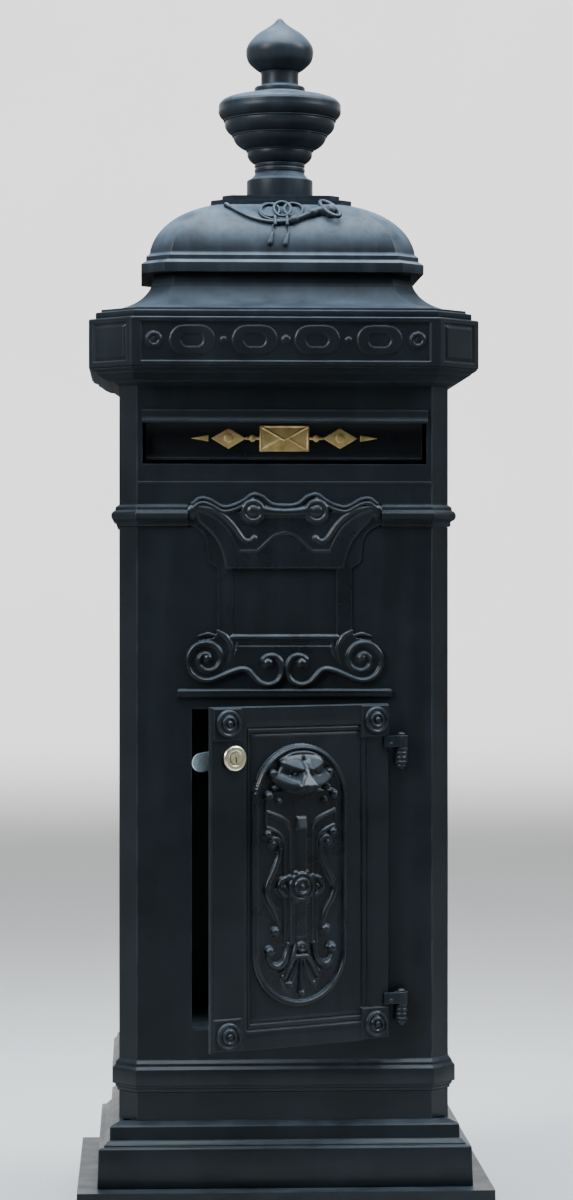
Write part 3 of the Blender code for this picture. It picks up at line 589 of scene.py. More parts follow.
# The relief paint: dust colour on nearly every upward slope, a painted highlight on the cast reliefs.
RELIEF = paint("relief_paint_dust_and_painted_sheen", (0.0034, 0.0047, 0.0060, 1.0), RELIEF_DUST_AND_SHEEN, WEAR, 0.27, 0.06, 0.08,
               slope=0.12, shine=0.30)
# The cove paint: rougher and less shiny, its dust colour also a painted sheen on the lower part.
MATT = paint("matt_black_paint", (0.0050, 0.0068, 0.0088, 1.0), COVE_DUST_AND_SHEEN, WEAR, 0.52, slope=0.30, shine=0.10)
DARK_STEEL = metal("blackened_steel", (0.060, 0.072, 0.080, 1.0), (0.020, 0.025, 0.030, 1.0), 0.48)
STEEL = metal("zinc_plated_steel", (0.62, 0.76, 0.82, 1.0), (0.34, 0.44, 0.50, 1.0), 0.42, (6.0, 1.0, 1.0))
GOLD = metal("gilt_paint", (0.62, 0.46, 0.19, 1.0), (0.36, 0.25, 0.09, 1.0), 0.38, scratch=0.20, metallic=0.75)
FINISH = {"black_paint": BLACK, "zinc_steel": STEEL, "brass": BRASS, "gilt": GOLD}


# ---------------------------------------------------------------- carried-over castings

def dress_cad_nodes():
    """Every CAD node gets its finish, and the castings get slightly rounded edges."""
    large, wide_edge, fine_edge = 0.15, 0.0012, 0.0004
    for name, obj in frame["nodes"].items():
        slot = obj.data.materials[0].name.split(".")[0]
        finish = FINISH.get(slot, BLACK)
        # The cap plate takes the roof paint with its painted sky highlight.
        if name == "cap_plate":
            finish = ROOF
        for i in range(len(obj.material_slots)):
            obj.material_slots[i].link = "OBJECT"
            obj.material_slots[i].material = finish
        size = max(b - a for a, b in zip(*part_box(name)))
        bevel = obj.modifiers.new("worn_edges", "BEVEL")
        bevel.width = wide_edge if size > large else fine_edge
        bevel.segments = 3
        bevel.limit_method = "ANGLE"
        bevel.angle_limit = math.radians(22)
        bevel.harden_normals = True


# ---------------------------------------------------------------- mouldings

def tower_plan(half_width):
    growth = half_width - BODY_HALF_WIDTH
    return cut_corners(half_width, BODY_HALF_DEPTH + growth, BODY_CUT + CUT_GROWTH * growth)


def square_plan(half_width):
    w, d = half_width, BODY_HALF_DEPTH + half_width - BODY_HALF_WIDTH
    return soften([(w, -d), (w, d), (-w, d), (-w, -d)], 0.0022, closed=True)


def cove_plan(half_width):
    """Between the frieze's plan and the lid's, as the depth closes in."""
    lid, outer = 0.131, 0.189
    share = (half_width - lid) / (outer - lid)
    low = lid * LID_RATIO
    depth = low + share * (outer - BODY_HALF_WIDTH + BODY_HALF_DEPTH - low)
    return cut_corners(half_width, depth, 0.021 + share * 0.016)


def belt(name, profile, plan, gap=None):
    """A moulding run round the tower; with a gap it stops at each side of the cartouche."""
    outlines = [plan(w) for w, _ in profile]
    if gap is None:
        sections = [(outline, z) for outline, (_, z) in zip(outlines, profile)]
        return loft(name, sections)
    verts, arc = [], 3
    for outline, (_, z) in zip(outlines, profile):
        front = outline[-1][1]
        row = [(gap, front)] + outline[-arc:] + outline[:-arc] + [(-gap, front)]
        verts += [(x, y, z) for x, y in row]
    around, rows = len(outlines[0]) + 2, len(profile)
    faces = []
    for r in range(rows):
        low, high = r * around, ((r + 1) % rows) * around
        faces += [(low + k, low + k + 1, high + k + 1, high + k) for k in range(around - 1)]
    faces += [[r * around for r in range(rows)], [r * around + around - 1 for r in reversed(range(rows))]]
    return piece(name, verts, faces)


def build_mouldings():
    """The mouldings, in millimetres, with their small radii, in place of the CAD's plain ones."""
    runs = {
        "plinth": (BLACK, square_plan, None, [
            (187, 42.3), (185.8, 80.8), (184.5, 82.4), (180.4, 82.7), (180.4, 84.3), (179, 85.2),
            (176.6, 88), (174.8, 88.2), (174.6, 101.6), (172, 103.4), (165.8, 106.2), (160.5, 106.2),
            (160.5, 98), (169, 96), (169, 80), (179.5, 76), (180, 42.3)]),
        "lower_belt": (BLACK, tower_plan, None, [
            (165.5, 134.3), (167.5, 135.2), (167.5, 138), (169.5, 139), (169.5, 141.2), (172.4, 142),
            (172.4, 157.6), (170.5, 159.2), (169, 160.8), (169, 163.2), (165.5, 166.7),
            (160.5, 166.7), (160.5, 134.3)]),
        "waist_belt": (BLACK, tower_plan, CARTOUCHE_SEAT, [
            (165.5, 699.3), (168.2, 700), (168.2, 704.2), (169, 705)]
            + arc((168, 710.5), (5.6, 5.6), -1.3, 1.3, 9)
            + [(169.4, 717.5), (169, 719.2), (165.5, 721.7), (160.5, 721.7), (160.5, 699.3)]),
        "bed_moulding": (BLACK, tower_plan, None, [
            (165.5, 840.3), (169.5, 843), (171.2, 843.7), (171.2, 844.7)]
            + [(171.2 + 15 * t, 844.7 + 6.8 * t * t) for t in np.linspace(0.2, 1, 7)]
            + [(188.5, 852.2), (188.5, 854), (193.5, 856), (195, 857.4), (160.5, 857.4), (160.5, 840.3)]),
        "roof_cove": (MATT, cove_plan, None, [
            (189, 907.3), (189, 913.5), (183.5, 914.5), (183.5, 917)]
            + [(183.5 - 52.5 * math.sin(a), 917 + 37.4 * (1 - math.cos(a)))
               for a in np.linspace(0.12, math.pi / 2, 14)]
            + [(131, 956.1), (125, 956.1), (125, 938), (140, 923), (177.5, 910), (177.5, 907.3)]),
    }
    for node, (material, plan, gap, profile) in runs.items():
        profile = soften(mm(profile), 0.0007, closed=True, steps=2)
        settle(belt(node + "_run", profile, plan, gap), material, "housing", "black_paint", node)


# ---------------------------------------------------------------- head and frieze

def build_frieze():
    """The band as one casting: sunk panels, ring bosses, a row of ornaments and corner tiles."""
    low, high = FRIEZE_BOTTOM / MM, FRIEZE_TOP / MM
    w, d, c = FRIEZE_HALF_WIDTH / MM, FRIEZE_HALF_DEPTH / MM, FRIEZE_CUT / MM
    zs = lines(low, high, (863, 902), 1.1)
    row = (863 + 902) / 2 + 1.5
    across_side = lines(-(d - c), d - c, (-91, 91), 6)
    across_front = grid(-(w - c), w - c, 0.9)
    across_back = lines(-(w - c), w - c, (-143.5, 143.5), 6)
    diagonal = c * math.sqrt(2)
    across_cut = grid(-diagonal / 2, diagonal / 2, 1)
    sides = [((0, -d), (1, 0), across_front, "front"), ((w - c / 2, -d + c / 2), (1, 1), across_cut, "cut"),
             ((w, 0), (0, 1), across_side, "side"), ((w - c / 2, d - c / 2), (-1, 1), across_cut, "cut"),
             ((0, d), (-1, 0), across_back, "back"), ((-w + c / 2, d - c / 2), (-1, -1), across_cut, "cut"),
             ((-w, 0), (0, -1), across_side, "side"), ((-w + c / 2, -d + c / 2), (1, -1), across_cut, "cut")]
    columns = []
    for centre, along, xs, kind in sides:
        face = Field(xs, zs, 0)
        if kind == "cut":
            face.sink(oblong(-23.5, 23.5, 863.5, 901.5), 1.7)
            face.plate(oblong(-20, 20, 866.8, 898.6), 0.1, 1.4, 2)
        else:
            half = 91 if kind == "side" else 143.5
            face.sink(oblong(-half, half, 863, 902), 1.9, 1.2)
        if kind == "front":
            face.ring(131, row, 5.9, 2.2, -1.9, 2.1)
            face.dome(131, row, 3.6, 3.6, -1.9, 1.4)
            for x in (31, 93):
                for half, size, press in ((15, 14.2, 0), (11, 7.4, 1)):
                    quarter = math.pi / 2
                    loop = arc((x + half - 7, row), (size, size), -quarter, quarter, 12)
                    loop += arc((x - half + 7, row), (-size, -size), -quarter, quarter, 12)
                    for side in (1, -1):
                        outline = [(side * px, pz) for px, pz in loop]
                        if press:
                            face.sink(outline, 1.2, 0.5)
                        else:
                            face.plate(outline, -0.6, 0.5, 4)
            face.dome(62, row, 3.2, 3.2, -1.9, 1.8)
            face.dome(0, row, 4.6, 4.6, -1.9, 2, mirror=False)
        edge = np.clip(np.minimum(face.Z - low, high - face.Z) / 1.3, 0, 1)
        face.h -= 1.3 * (1 - np.sqrt(1 - (1 - edge) ** 2))
        length = math.hypot(*along)
        t = np.array(along) / length
        out = np.array((t[1], -t[0]))
        for j in range(len(xs) - 1):
            h = face.h[:, j]
            columns.append(np.stack([centre[0] + t[0] * xs[j] + out[0] * h,
                                     centre[1] + t[1] * xs[j] + out[1] * h, face.Z[:, j]], 1))
    shell = []
    inset = 6  # how far the casting's top and bottom reach inwards
    for column in columns:
        inward = column[[0, -1]].copy()
        inward[:, 0] -= np.sign(inward[:, 0]) * np.minimum(inset, np.abs(inward[:, 0]))
        inward[:, 1] -= np.sign(inward[:, 1]) * np.minimum(inset, np.abs(inward[:, 1]))
        shell.append(np.vstack([inward[:1], column, inward[1:]]))
    shell = np.array(shell) * MM
    around, rows = len(shell), len(zs) + 2
    verts = shell.transpose(1, 0, 2).reshape(-1, 3)
    faces = rings_to_faces(rows, around, closed=True)
    settle(piece("frieze_casting", verts, faces), BLACK, "housing", "black_paint", "frieze_band")


def build_head_details():
    """The fine ridge across the head under the slot, and the hood with its flared lip."""
    ridge = Field(lines(-147, 147, (-147, 147), 20), grid(738, 747, 0.6))
    ridge.bar([(-149, 742.6), (149, 742.6)], 2.2, -0.2, 0.75)
    obj = ridge.cast("head_ridge", on_front(FACE))
    settle(obj, BLACK, "housing", "black_paint")
    root = FACE - 0.0003
    hood = [(root, 0.8165), (root - 0.0026, 0.8162), (root - 0.004, 0.8146), (root - 0.0044, 0.809),
            (root - 0.0054, 0.8066), (root - 0.009, 0.8052), (root - 0.0094, 0.8036), (root - 0.0086, 0.803),
            (root - 0.005, 0.803), (root, 0.803)]
    obj = prism("slot_hood_casting", soften(hood, 0.0006, closed=True, steps=2), -0.143, 0.143)
    settle(obj, BLACK, "housing", "black_paint", "slot_hood")


# ---------------------------------------------------------------- roof

def dome_curve(share):
    """Half width and height on the dome's outside, from its rim (0) to the cap plate (1)."""
    centre = 0.038
    start = math.radians(4.7)
    reach = (0.135 - centre) / math.cos(start)
    end = math.acos((0.072 - centre) / reach)
    rise = (1.03 - 0.9765) / (math.sin(end) - math.sin(start))
    turn = start + (end - start) * share
    return centre + reach * math.cos(turn), 0.9765 + rise * (math.sin(turn) - math.sin(start))


def build_dome():
    rim = [(129, 977), (129, 956.4), (143.5, 956.4), (143.5, 966.2), (139, 969),
           (138.5, 969.4), (138.5, 973.8), (135.2, 976.3)]
    profile = soften(mm(rim), 0.0009, steps=3)
    profile += [dome_curve(s) for s in np.linspace(0.02, 1, 26)]
    profile += mm([(70, 1029.4), (68, 1024), (90, 1018), (115, 1002)])
    sections = [(cut_corners(w, LID_RATIO * w, 0.16 * w, 0.0016, 3), z) for w, z in profile]
    settle(loft("domed_lid", sections), ROOF, "housing", "black_paint", "roof_dome")


def on_dome(x, z, lift):
    """A point over the front of the dome: across and height in millimetres, lift off the surface."""
    shares = np.linspace(0, 1, 60)
    curve = np.array([dome_curve(s) for s in shares])
    height = z * MM
    w = np.interp(height, curve[:, 1], curve[:, 0])
    steeper = np.interp(height + 0.001, curve[:, 1], curve[:, 0])
    normal = Vector((0, -0.001, -LID_RATIO * (steeper - w))).normalized()
    spot = Vector((x * MM, -LID_RATIO * w, height)) + normal * lift * MM
    return (spot.x, spot.y, spot.z)


def build_horn():
    """A post horn in relief on the dome: tube, coils, collars, bell and two tassels."""
    parts = []
    crest = 1028.6  # nothing of the horn stands above this height

    def bar(points, radii, lift, per=7):
        places = [on_dome(x, z, lift) for x, z in smooth_line(points, per)]
        parts.append(tube("bar", places, [r * MM for r in radii], 12))

    bar([(-54, 1024), (-42, 1016.8), (-32, 1011.8), (-20, 1008.4), (-9, 1007.2), (3, 1007.6),
         (12, 1009.6), (21, 1013.2), (30, 1017)], [2, 1.6, 1.7, 1.9, 2.2, 2.6, 3, 3.6, 4.2], 2)
    bar([(-57, 1026), (-53, 1023.2)], [2.8, 2.2], 2.2)
    for x, z, r in ((11, 1009.4, 4.4), (30.5, 1017, 5.2)):
        bar([(x - 1.2, z - 0.5), (x + 1.2, z + 0.5)], [r, r], 2.4)
    bar([(31, 1017.4), (38, 1018.8), (44, 1018.8), (48, 1018.4)], [4, 5, 6.6, 8.4], 2.6)
    rim = [(48 + 9.4 * math.cos(a) + 2.8 * math.sin(a), 1018.4 - 7.2 * math.cos(a) + 3.6 * math.sin(a))
           for a in np.linspace(0, 2 * math.pi, 33)]
    parts.append(tube("bar", [on_dome(x, min(z, crest), 6.4) for x, z in rim], [0.0021], 12))
    coils = ((-12.6, 9.4, 7.4, 2.2), (10.9, 9.4, 7.4, 3), (-0.3, 8.6, 8.2, 3.8), (-1.3, 22.5, 11.4, 1.4))
    for x, half, tall, lift in coils:
        loop = arc((x, 1020.2), (half, tall), 0, 2 * math.pi, 33)
        parts.append(tube("bar", [on_dome(px, min(pz, crest), lift) for px, pz in loop], [0.0015], 10))
    for x, foot in ((-10, 996), (5.6, 995)):
        bar([(x, 1008), (x - 0.4, 1002), (x, foot)], [1.1, 0.9, 1], 0.8)
        bar([(x - 1, foot), (x - 2.4, foot - 5), (x - 3.6, foot - 10)], [1.8, 2.4, 3], 0.2)
    for x in (-8, 4):
        bar([(x, 1012), (x, 1004)], [1.8, 1.8], 3)
    settle(joined("post_horn", parts), ROOF, "housing", "black_paint")
    bpy.data.objects["post_horn"].data.shade_smooth()


def build_finial():
    """The foot, the urn in its widening tiers and the ball with its point, all turned."""
    base = [(8, 1040.6), (34.2, 1040.6), (34.2, 1058.8), (33.6, 1059.8), (29.6, 1061.8),
            (26.8, 1064.8), (25.4, 1067.4), (25.8, 1068.1), (26.2, 1069), (26.2, 1071.6),
            (25.4, 1072.2), (25.4, 1073.2), (26.2, 1073.8), (26.2, 1076.2), (25.6, 1077), (8, 1077)]
    obj = turned("finial_foot", soften(mm(base), 0.0006, steps=3), closed=True)
    settle(obj, ROOF, "housing", "black_paint", "finial_base")

    urn = [(8, 1077.3)]
    tiers = ((26.5, 1077.3, 33.6, 1091.2), (34.9, 1091.7, 48.2, 1106.6),
             (49.3, 1107, 57.1, 1122.4), (57.8, 1122.8, 63.3, 1136.2))
    for low, z0, high, z1 in tiers:
        for t in np.linspace(0, 1, 9):
            bulge = math.sin(math.pi * t) * 1.8
            urn.append((low + (high - low) * t ** 0.66 + bulge, z0 + (z1 - z0) * 0.86 * t))
        if high < 60:
            urn += [(high - 0.6, z0 + (z1 - z0) * 0.89), (high + 1.4, z0 + (z1 - z0) * 0.92),
                    (high + 1.4, z0 + (z1 - z0) * 0.98), (high - 0.4, z1 - 0.1)]
    urn += [(63.3, 1137.8), (62.2, 1140.2), (59.4, 1142.8), (55.6, 1144.7), (50, 1146.4),
            (40, 1148.4), (30, 1150.3), (25.8, 1151.4), (26.2, 1153), (26.2, 1155.6),
            (25.2, 1156.8), (20.6, 1157.8), (19.4, 1159.2), (19.4, 1170), (20, 1172.2), (8, 1172.3)]
    obj = turned("finial_vase", soften(mm(urn), 0.0005, steps=2), closed=True, segments=80)
    settle(obj, ROOF, "housing", "black_paint", "finial_urn")

    knots = [(20.4, 1172.6), (24, 1174.8), (28.5, 1178.5), (32, 1182.2), (34, 1186.6),
             (35, 1193.4), (33.5, 1199.5), (29, 1206), (22.8, 1212), (15, 1217),
             (9, 1221), (5.5, 1224), (3, 1227), (0.6, 1228.5)]
    ball = [(8, 1172.6)] + [tuple(p) for p in smooth_line(knots, 5)] + [(0, 1228.6)]
    settle(turned("finial_knob", mm(ball)), ROOF, "housing", "black_paint", "finial_ball")


# ---------------------------------------------------------------- cartouche

def spiral(x, z, start, end, angle, turns, steps=40):
    """A volute's line from its outer radius in to its eye."""
    points = []
    for t in np.linspace(0, 1, steps):
        r = start + (end - start) * t
        a = math.radians(angle) + 2 * math.pi * turns * t
        points.append((x + r * math.cos(a), z + r * math.sin(a)))
    return points


def build_cartouche():
    """The scrolled surround of the plaque, both halves alike."""
    f = Field(grid(-104, 104, 0.8), grid(534, 738, 0.8))
    ground = 1.6
    outer = [(-98.8, 702), (-96, 712), (-91, 721), (-84, 727.5), (-74, 725), (-62, 720), (-50, 722.5),
             (-40, 729), (-31, 732), (-22, 730), (-14, 722), (0, 720.5)]
    lower = [(-98.8, 701), (-92, 699.5), (-86, 696), (-81, 691), (-78.6, 684), (-77.6, 675), (-77.2, 667),
             (-74.5, 662), (-67.6, 658.5), (-67.6, 594), (-72, 588), (-86, 586), (-97, 574), (-97.5, 558),
             (-86, 544.5), (-70, 544.5), (-56, 550), (-42, 555), (-33, 550), (-24, 541), (-14, 539.5),
             (-4, 545), (0, 552)]
    outline = mirrored(outer)
    outline += [(-x, z) for x, z in lower] + [(x, z) for x, z in reversed(lower)]
    f.plate(outline, ground, 0.9)

    plaque = [(-97.8, 709), (-95, 716), (-90, 719), (-84.8, 704), (-78, 698.5), (-72.8, 693), (-68, 687),
              (-64.8, 681), (-61.8, 673), (-59.8, 666), (-58.8, 658.6), (-56, 657.6), (-20, 657.6), (0, 657.6)]
    top = [(0, 712), (-30, 712), (-60, 716), (-85, 722), (-93, 721)]
    body = mirrored(plaque) + [(-x, z) for x, z in reversed(top)] + top
    f.plate(body, ground + 2.4, 1)

    f.sink(oblong(-51.8, 51.8, 590.5, 657.2), ground + 0.4, 0.9)
    f.bar([(-52, 588.6), (52, 588.6)], 2.6, ground - 0.2, 2.4)
    f.sink([(-48.5, 580), (48.5, 580), (47.5, 582.6), (-47.5, 582.6)], 1.3, 0.8)

    rail = [(-92, 719.5), (-84.8, 724.5), (-76, 723.5), (-62.8, 716.5), (-52, 717.5), (-42, 722),
            (-31.8, 728.6), (-22, 726), (-14, 719.5), (-6, 717.6), (0, 717.4)]
    f.rope([(x, z + 2.6) for x, z in rail], 1.9, 2.6, 2.6)
    f.rope([(x, z - 1.8) for x, z in rail[:-4]], 1.6, 4, 2.2)
    f.rope([(-24, 715), (-12, 713.6), (0, 713.2)], [6.6, 5.2, 4.8], 1.8, [6, 5.2, 5])
    f.ring(31.8, 714.6, 9.6, 2.7, 3.8, 3.6)
    f.dome(31.8, 714.6, 7.4, 7.4, 3.4, 4.6)
    f.dome(92.4, 714.5, 6, 7, 1.8, 3)

    rib = [(-88, 718.5), (-78, 717.5), (-69.8, 714.5), (-59.8, 708.5), (-51, 699.5), (-44.5, 690),
           (-40.5, 685.8), (-35.8, 684.6), (-31.2, 687.2)]
    f.rope(rib, [1.7, 2.2, 2.3, 2.2, 2.2], 3.6, [1.6, 2.6, 2.8, 2.6])
    f.dome(30.6, 687.6, 3, 3, 3.6, 3.2)
    line = [(-90, 715.5), (-80, 713.5), (-70, 708.5), (-60.5, 701), (-53, 691), (-48, 681), (-45.6, 675)]
    f.rope(line, 1, 3.8, 0.9)
    f.rope([(-45.6, 675), (-27.8, 675)], 1.1, 3.8, 1, smooth=False)
    f.rope([(-27.8, 675), (-22.8, 679.4), (-17.5, 684.6), (-9.5, 691), (0, 693.4)], 1.1, 3.8, 1)

    f.rope([(-67, 595), (-59.5, 590), (-54.8, 583), (-53, 575), (-56, 563)],
           [1.4, 2.2, 2.4, 2, 0.8], ground - 0.2, [1.2, 2.2, 2.2, 0.6])
    f.rope([(-47.5, 583), (-48.4, 575), (-53, 566)], [1, 1.8, 0.7], ground - 0.2, [1, 1.6, 0.5])

    tail = [(-96.6, 560), (-92, 551.6), (-84, 546.4), (-74.8, 545.8), (-66, 548.6), (-54, 553.6),
            (-44, 556.6), (-37, 555.4), (-31, 549.4), (-25, 543.4), (-17, 541), (-9, 543.2),
            (-4, 549), (-2.4, 557), (-4.8, 565.6), (-10.6, 570), (-17.6, 569.6), (-21.6, 566.4)]
    f.rope(tail, [2.5, 2.6, 2.5, 2.3], 1.2, [3.6, 3.8, 3.4])
    f.dome(16.9, 562.6, 5.6, 5.6, 1.4, 5.4)
    f.rope(spiral(-77.6, 566.4, 20, 4.6, 200, -1.38), [2.7, 2.5, 2.3], 1.2, [3.8, 3.6, 3.2])
    f.dome(76.8, 567.8, 4.6, 4.6, 1.6, 4)
    f.rope([(-86, 590), (-77, 592), (-68, 590)], [1, 2, 1], ground - 0.4, [0.8, 1.6, 0.8])
    obj = f.cast("cartouche_casting", on_front(FACE))
    settle(obj, RELIEF, "housing", "black_paint", "cartouche")


def build_drip_bar():
    f = Field(lines(-118, 118, (-116, -106, 106, 116), 12), grid(525, 541, 0.45))
    f.plate([(-114, 529), (114, 529), (106, 537), (-106, 537)], 4, 1.6)
    f.bar([(-107, 534.8), (107, 534.8)], [1, 1.8, 1.8, 1.8, 1], 2.6, 2)
    obj = f.cast("drip_moulding", on_front(FACE))
    settle(obj, BLACK, "housing", "black_paint", "drip_bar")


# ---------------------------------------------------------------- slot

def prism(name, outline, low, high):
    """An outline of (y, z) drawn out along X."""
    count = len(outline)
    verts = [(x, y, z) for x in (low, high) for y, z in outline]
    faces = [(k, (k + 1) % count, count + (k + 1) % count, count + k) for k in range(count)]
    faces += [tuple(range(count - 1, -1, -1)), tuple(range(count, 2 * count))]
    return face_outward(piece(name, verts, faces, sharp=40))


def build_flap():
    """The letter flap: a rolled eye round the rod and a folded lip along its lower edge."""
    front, back = -0.1035, -0.101
    rod_y, rod_z, eye = -0.1005, 0.811, 0.0043
    outline = [(back, 0.7655), (back, 0.807)]
    start = -math.acos((back - rod_y) / eye)
    end = 2 * math.pi - math.acos((front - rod_y) / eye)
    outline += arc((rod_y, rod_z), (eye, eye), start, end, 24)
    outline += [(front, 0.7736), (front - 0.001, 0.7722), (front - 0.0012, 0.7708), (front - 0.0006, 0.7696),
                (front - 0.0004, 0.7688), (front - 0.0012, 0.7678), (front - 0.0012, 0.7664), (front, 0.7655)]
    obj = prism("letter_flap", outline, -0.1385, 0.1385)
    # The flap takes the darker slot paint, painted shade inside the slot.
    settle(obj, DARK, "flap", "black_paint", "slot_flap")

    f = Field(grid(-96, 96, 0.6), grid(773.5, 802.5, 0.5))
    low, high, middle = 774.5, 801.5, 788
    f.plate(oblong(-25, 25, low, high), 0.9, 0.6)
    f.bar([(-23.6, high - 1.4), (0, middle - 1.5), (23.6, high - 1.4)], 1.1, 0.8, 0.9)
    f.rope([(-23.6, low + 1.4), (-5, middle - 0.5)], 0.9, 0.8, 0.7, smooth=False)
    frame_line = oblong(-23.8, 23.8, low + 1.2, high - 1.2)
    f.bar(frame_line + frame_line[:1], 1.1, 0.7, 0.9)
    for side in (-1, 1):
        lozenge = ((38, middle), (56, high - 2.6), (74, middle), (56, low + 2.6))
        f.plate([(side * x, z) for x, z in lozenge], 1.1, 0.9)
        f.dome(side * 56, middle, 5, 5, 0.6, 1.4, mirror=False)
        f.plate([(side * x, z) for x, z in ((76, middle + 3.4), (95, middle), (76, middle - 3.4))], 0.9, 0.6)
        f.bar([(side * 26, middle), (side * 38, middle)], 1.7, 0.1, 1.2)
        f.dome(side * 32, middle, 3.8, 3.8, 0, 1.7, mirror=False)
    obj = f.cast("flap_ornament", on_front(front), cut=-0.3, back=-0.2)
    settle(obj, GOLD, "flap", "gilt", "flap_emblem")


# ---------------------------------------------------------------- door

def build_door_panel():
    """The panel with its stepped recess and raised corner blocks, drawn shut and then opened."""
    left, right, bottom, top = -100, 103, 188.5, 523
    blocks_x, blocks_z = ((-98, -67), (71, 102)), ((190, 221), (490.5, 521.5))
    steps = ((-60, 77.5, 208.5, 502, 1.2), (-56, 71.8, 214.5, 496.5, 1.2))
    hole_at, hole_radius = (-74.5, 473.3), (9.2, 9.2)
    marks_x = [v for b in blocks_x for v in b] + [v for s in steps for v in s[:2]]
    marks_z = [v for b in blocks_z for v in b] + [v for s in steps for v in s[2:4]]
    f = Field(lines(left, right, marks_x + [left, right, -90, -58], 9),
              lines(bottom, top, marks_z + [bottom, top, 461, 486], 12), 0)
    for x0, x1, z0, z1, depth in steps:
        f.sink(oblong(x0, x1, z0, z1), depth, 0.7)
        away = f.inside((slice(None), slice(None)), oblong(x0, x1, z0, z1))
        f.h -= 1.5 * np.exp(-(away / 0.8) ** 2)
    for x0, x1 in blocks_x:
        for z0, z1 in blocks_z:
            f.plate(oblong(x0, x1, z0, z1), 2, 0.8)
    rim = np.minimum(np.minimum(f.X - left, right - f.X), np.minimum(f.Z - bottom, top - f.Z))
    over = np.clip(1 - rim / 1.4, 0, 1)
    f.h -= 1.4 * (1 - np.sqrt(np.clip(1 - over ** 2, 0, 1)))
    f.sink(arc(hole_at, hole_radius, 0, 6.28, 24), 5)
    front = f.cast("front", on_front(DOOR_FACE), cut=-10, back=-5.4, placing=DOOR_OPEN)
    bm = bmesh.new()
    edges = []
    for loop in (oblong(left, right, bottom, top), arc(hole_at, hole_radius, 0, 2 * math.pi, 33)[:-1]):
        ring = [bm.verts.new((x * MM, DOOR_FACE + 0.0054, z * MM)) for x, z in loop]
        edges += [bm.edges.new((ring[k], ring[(k + 1) % len(ring)])) for k in range(len(ring))]
    bmesh.ops.triangle_fill(bm, edges=edges, use_beauty=True, use_dissolve=False)
    for face in bm.faces:
        face.normal_update()
        if face.normal.y < 0:
            face.normal_flip()
    bm.transform(DOOR_OPEN)
    mesh = bpy.data.meshes.new("back")
    bm.to_mesh(mesh)
    bm.free()
    settle(joined("door_casting", [front, link("back", mesh)]), BLACK, "door", "black_paint", "door_panel")


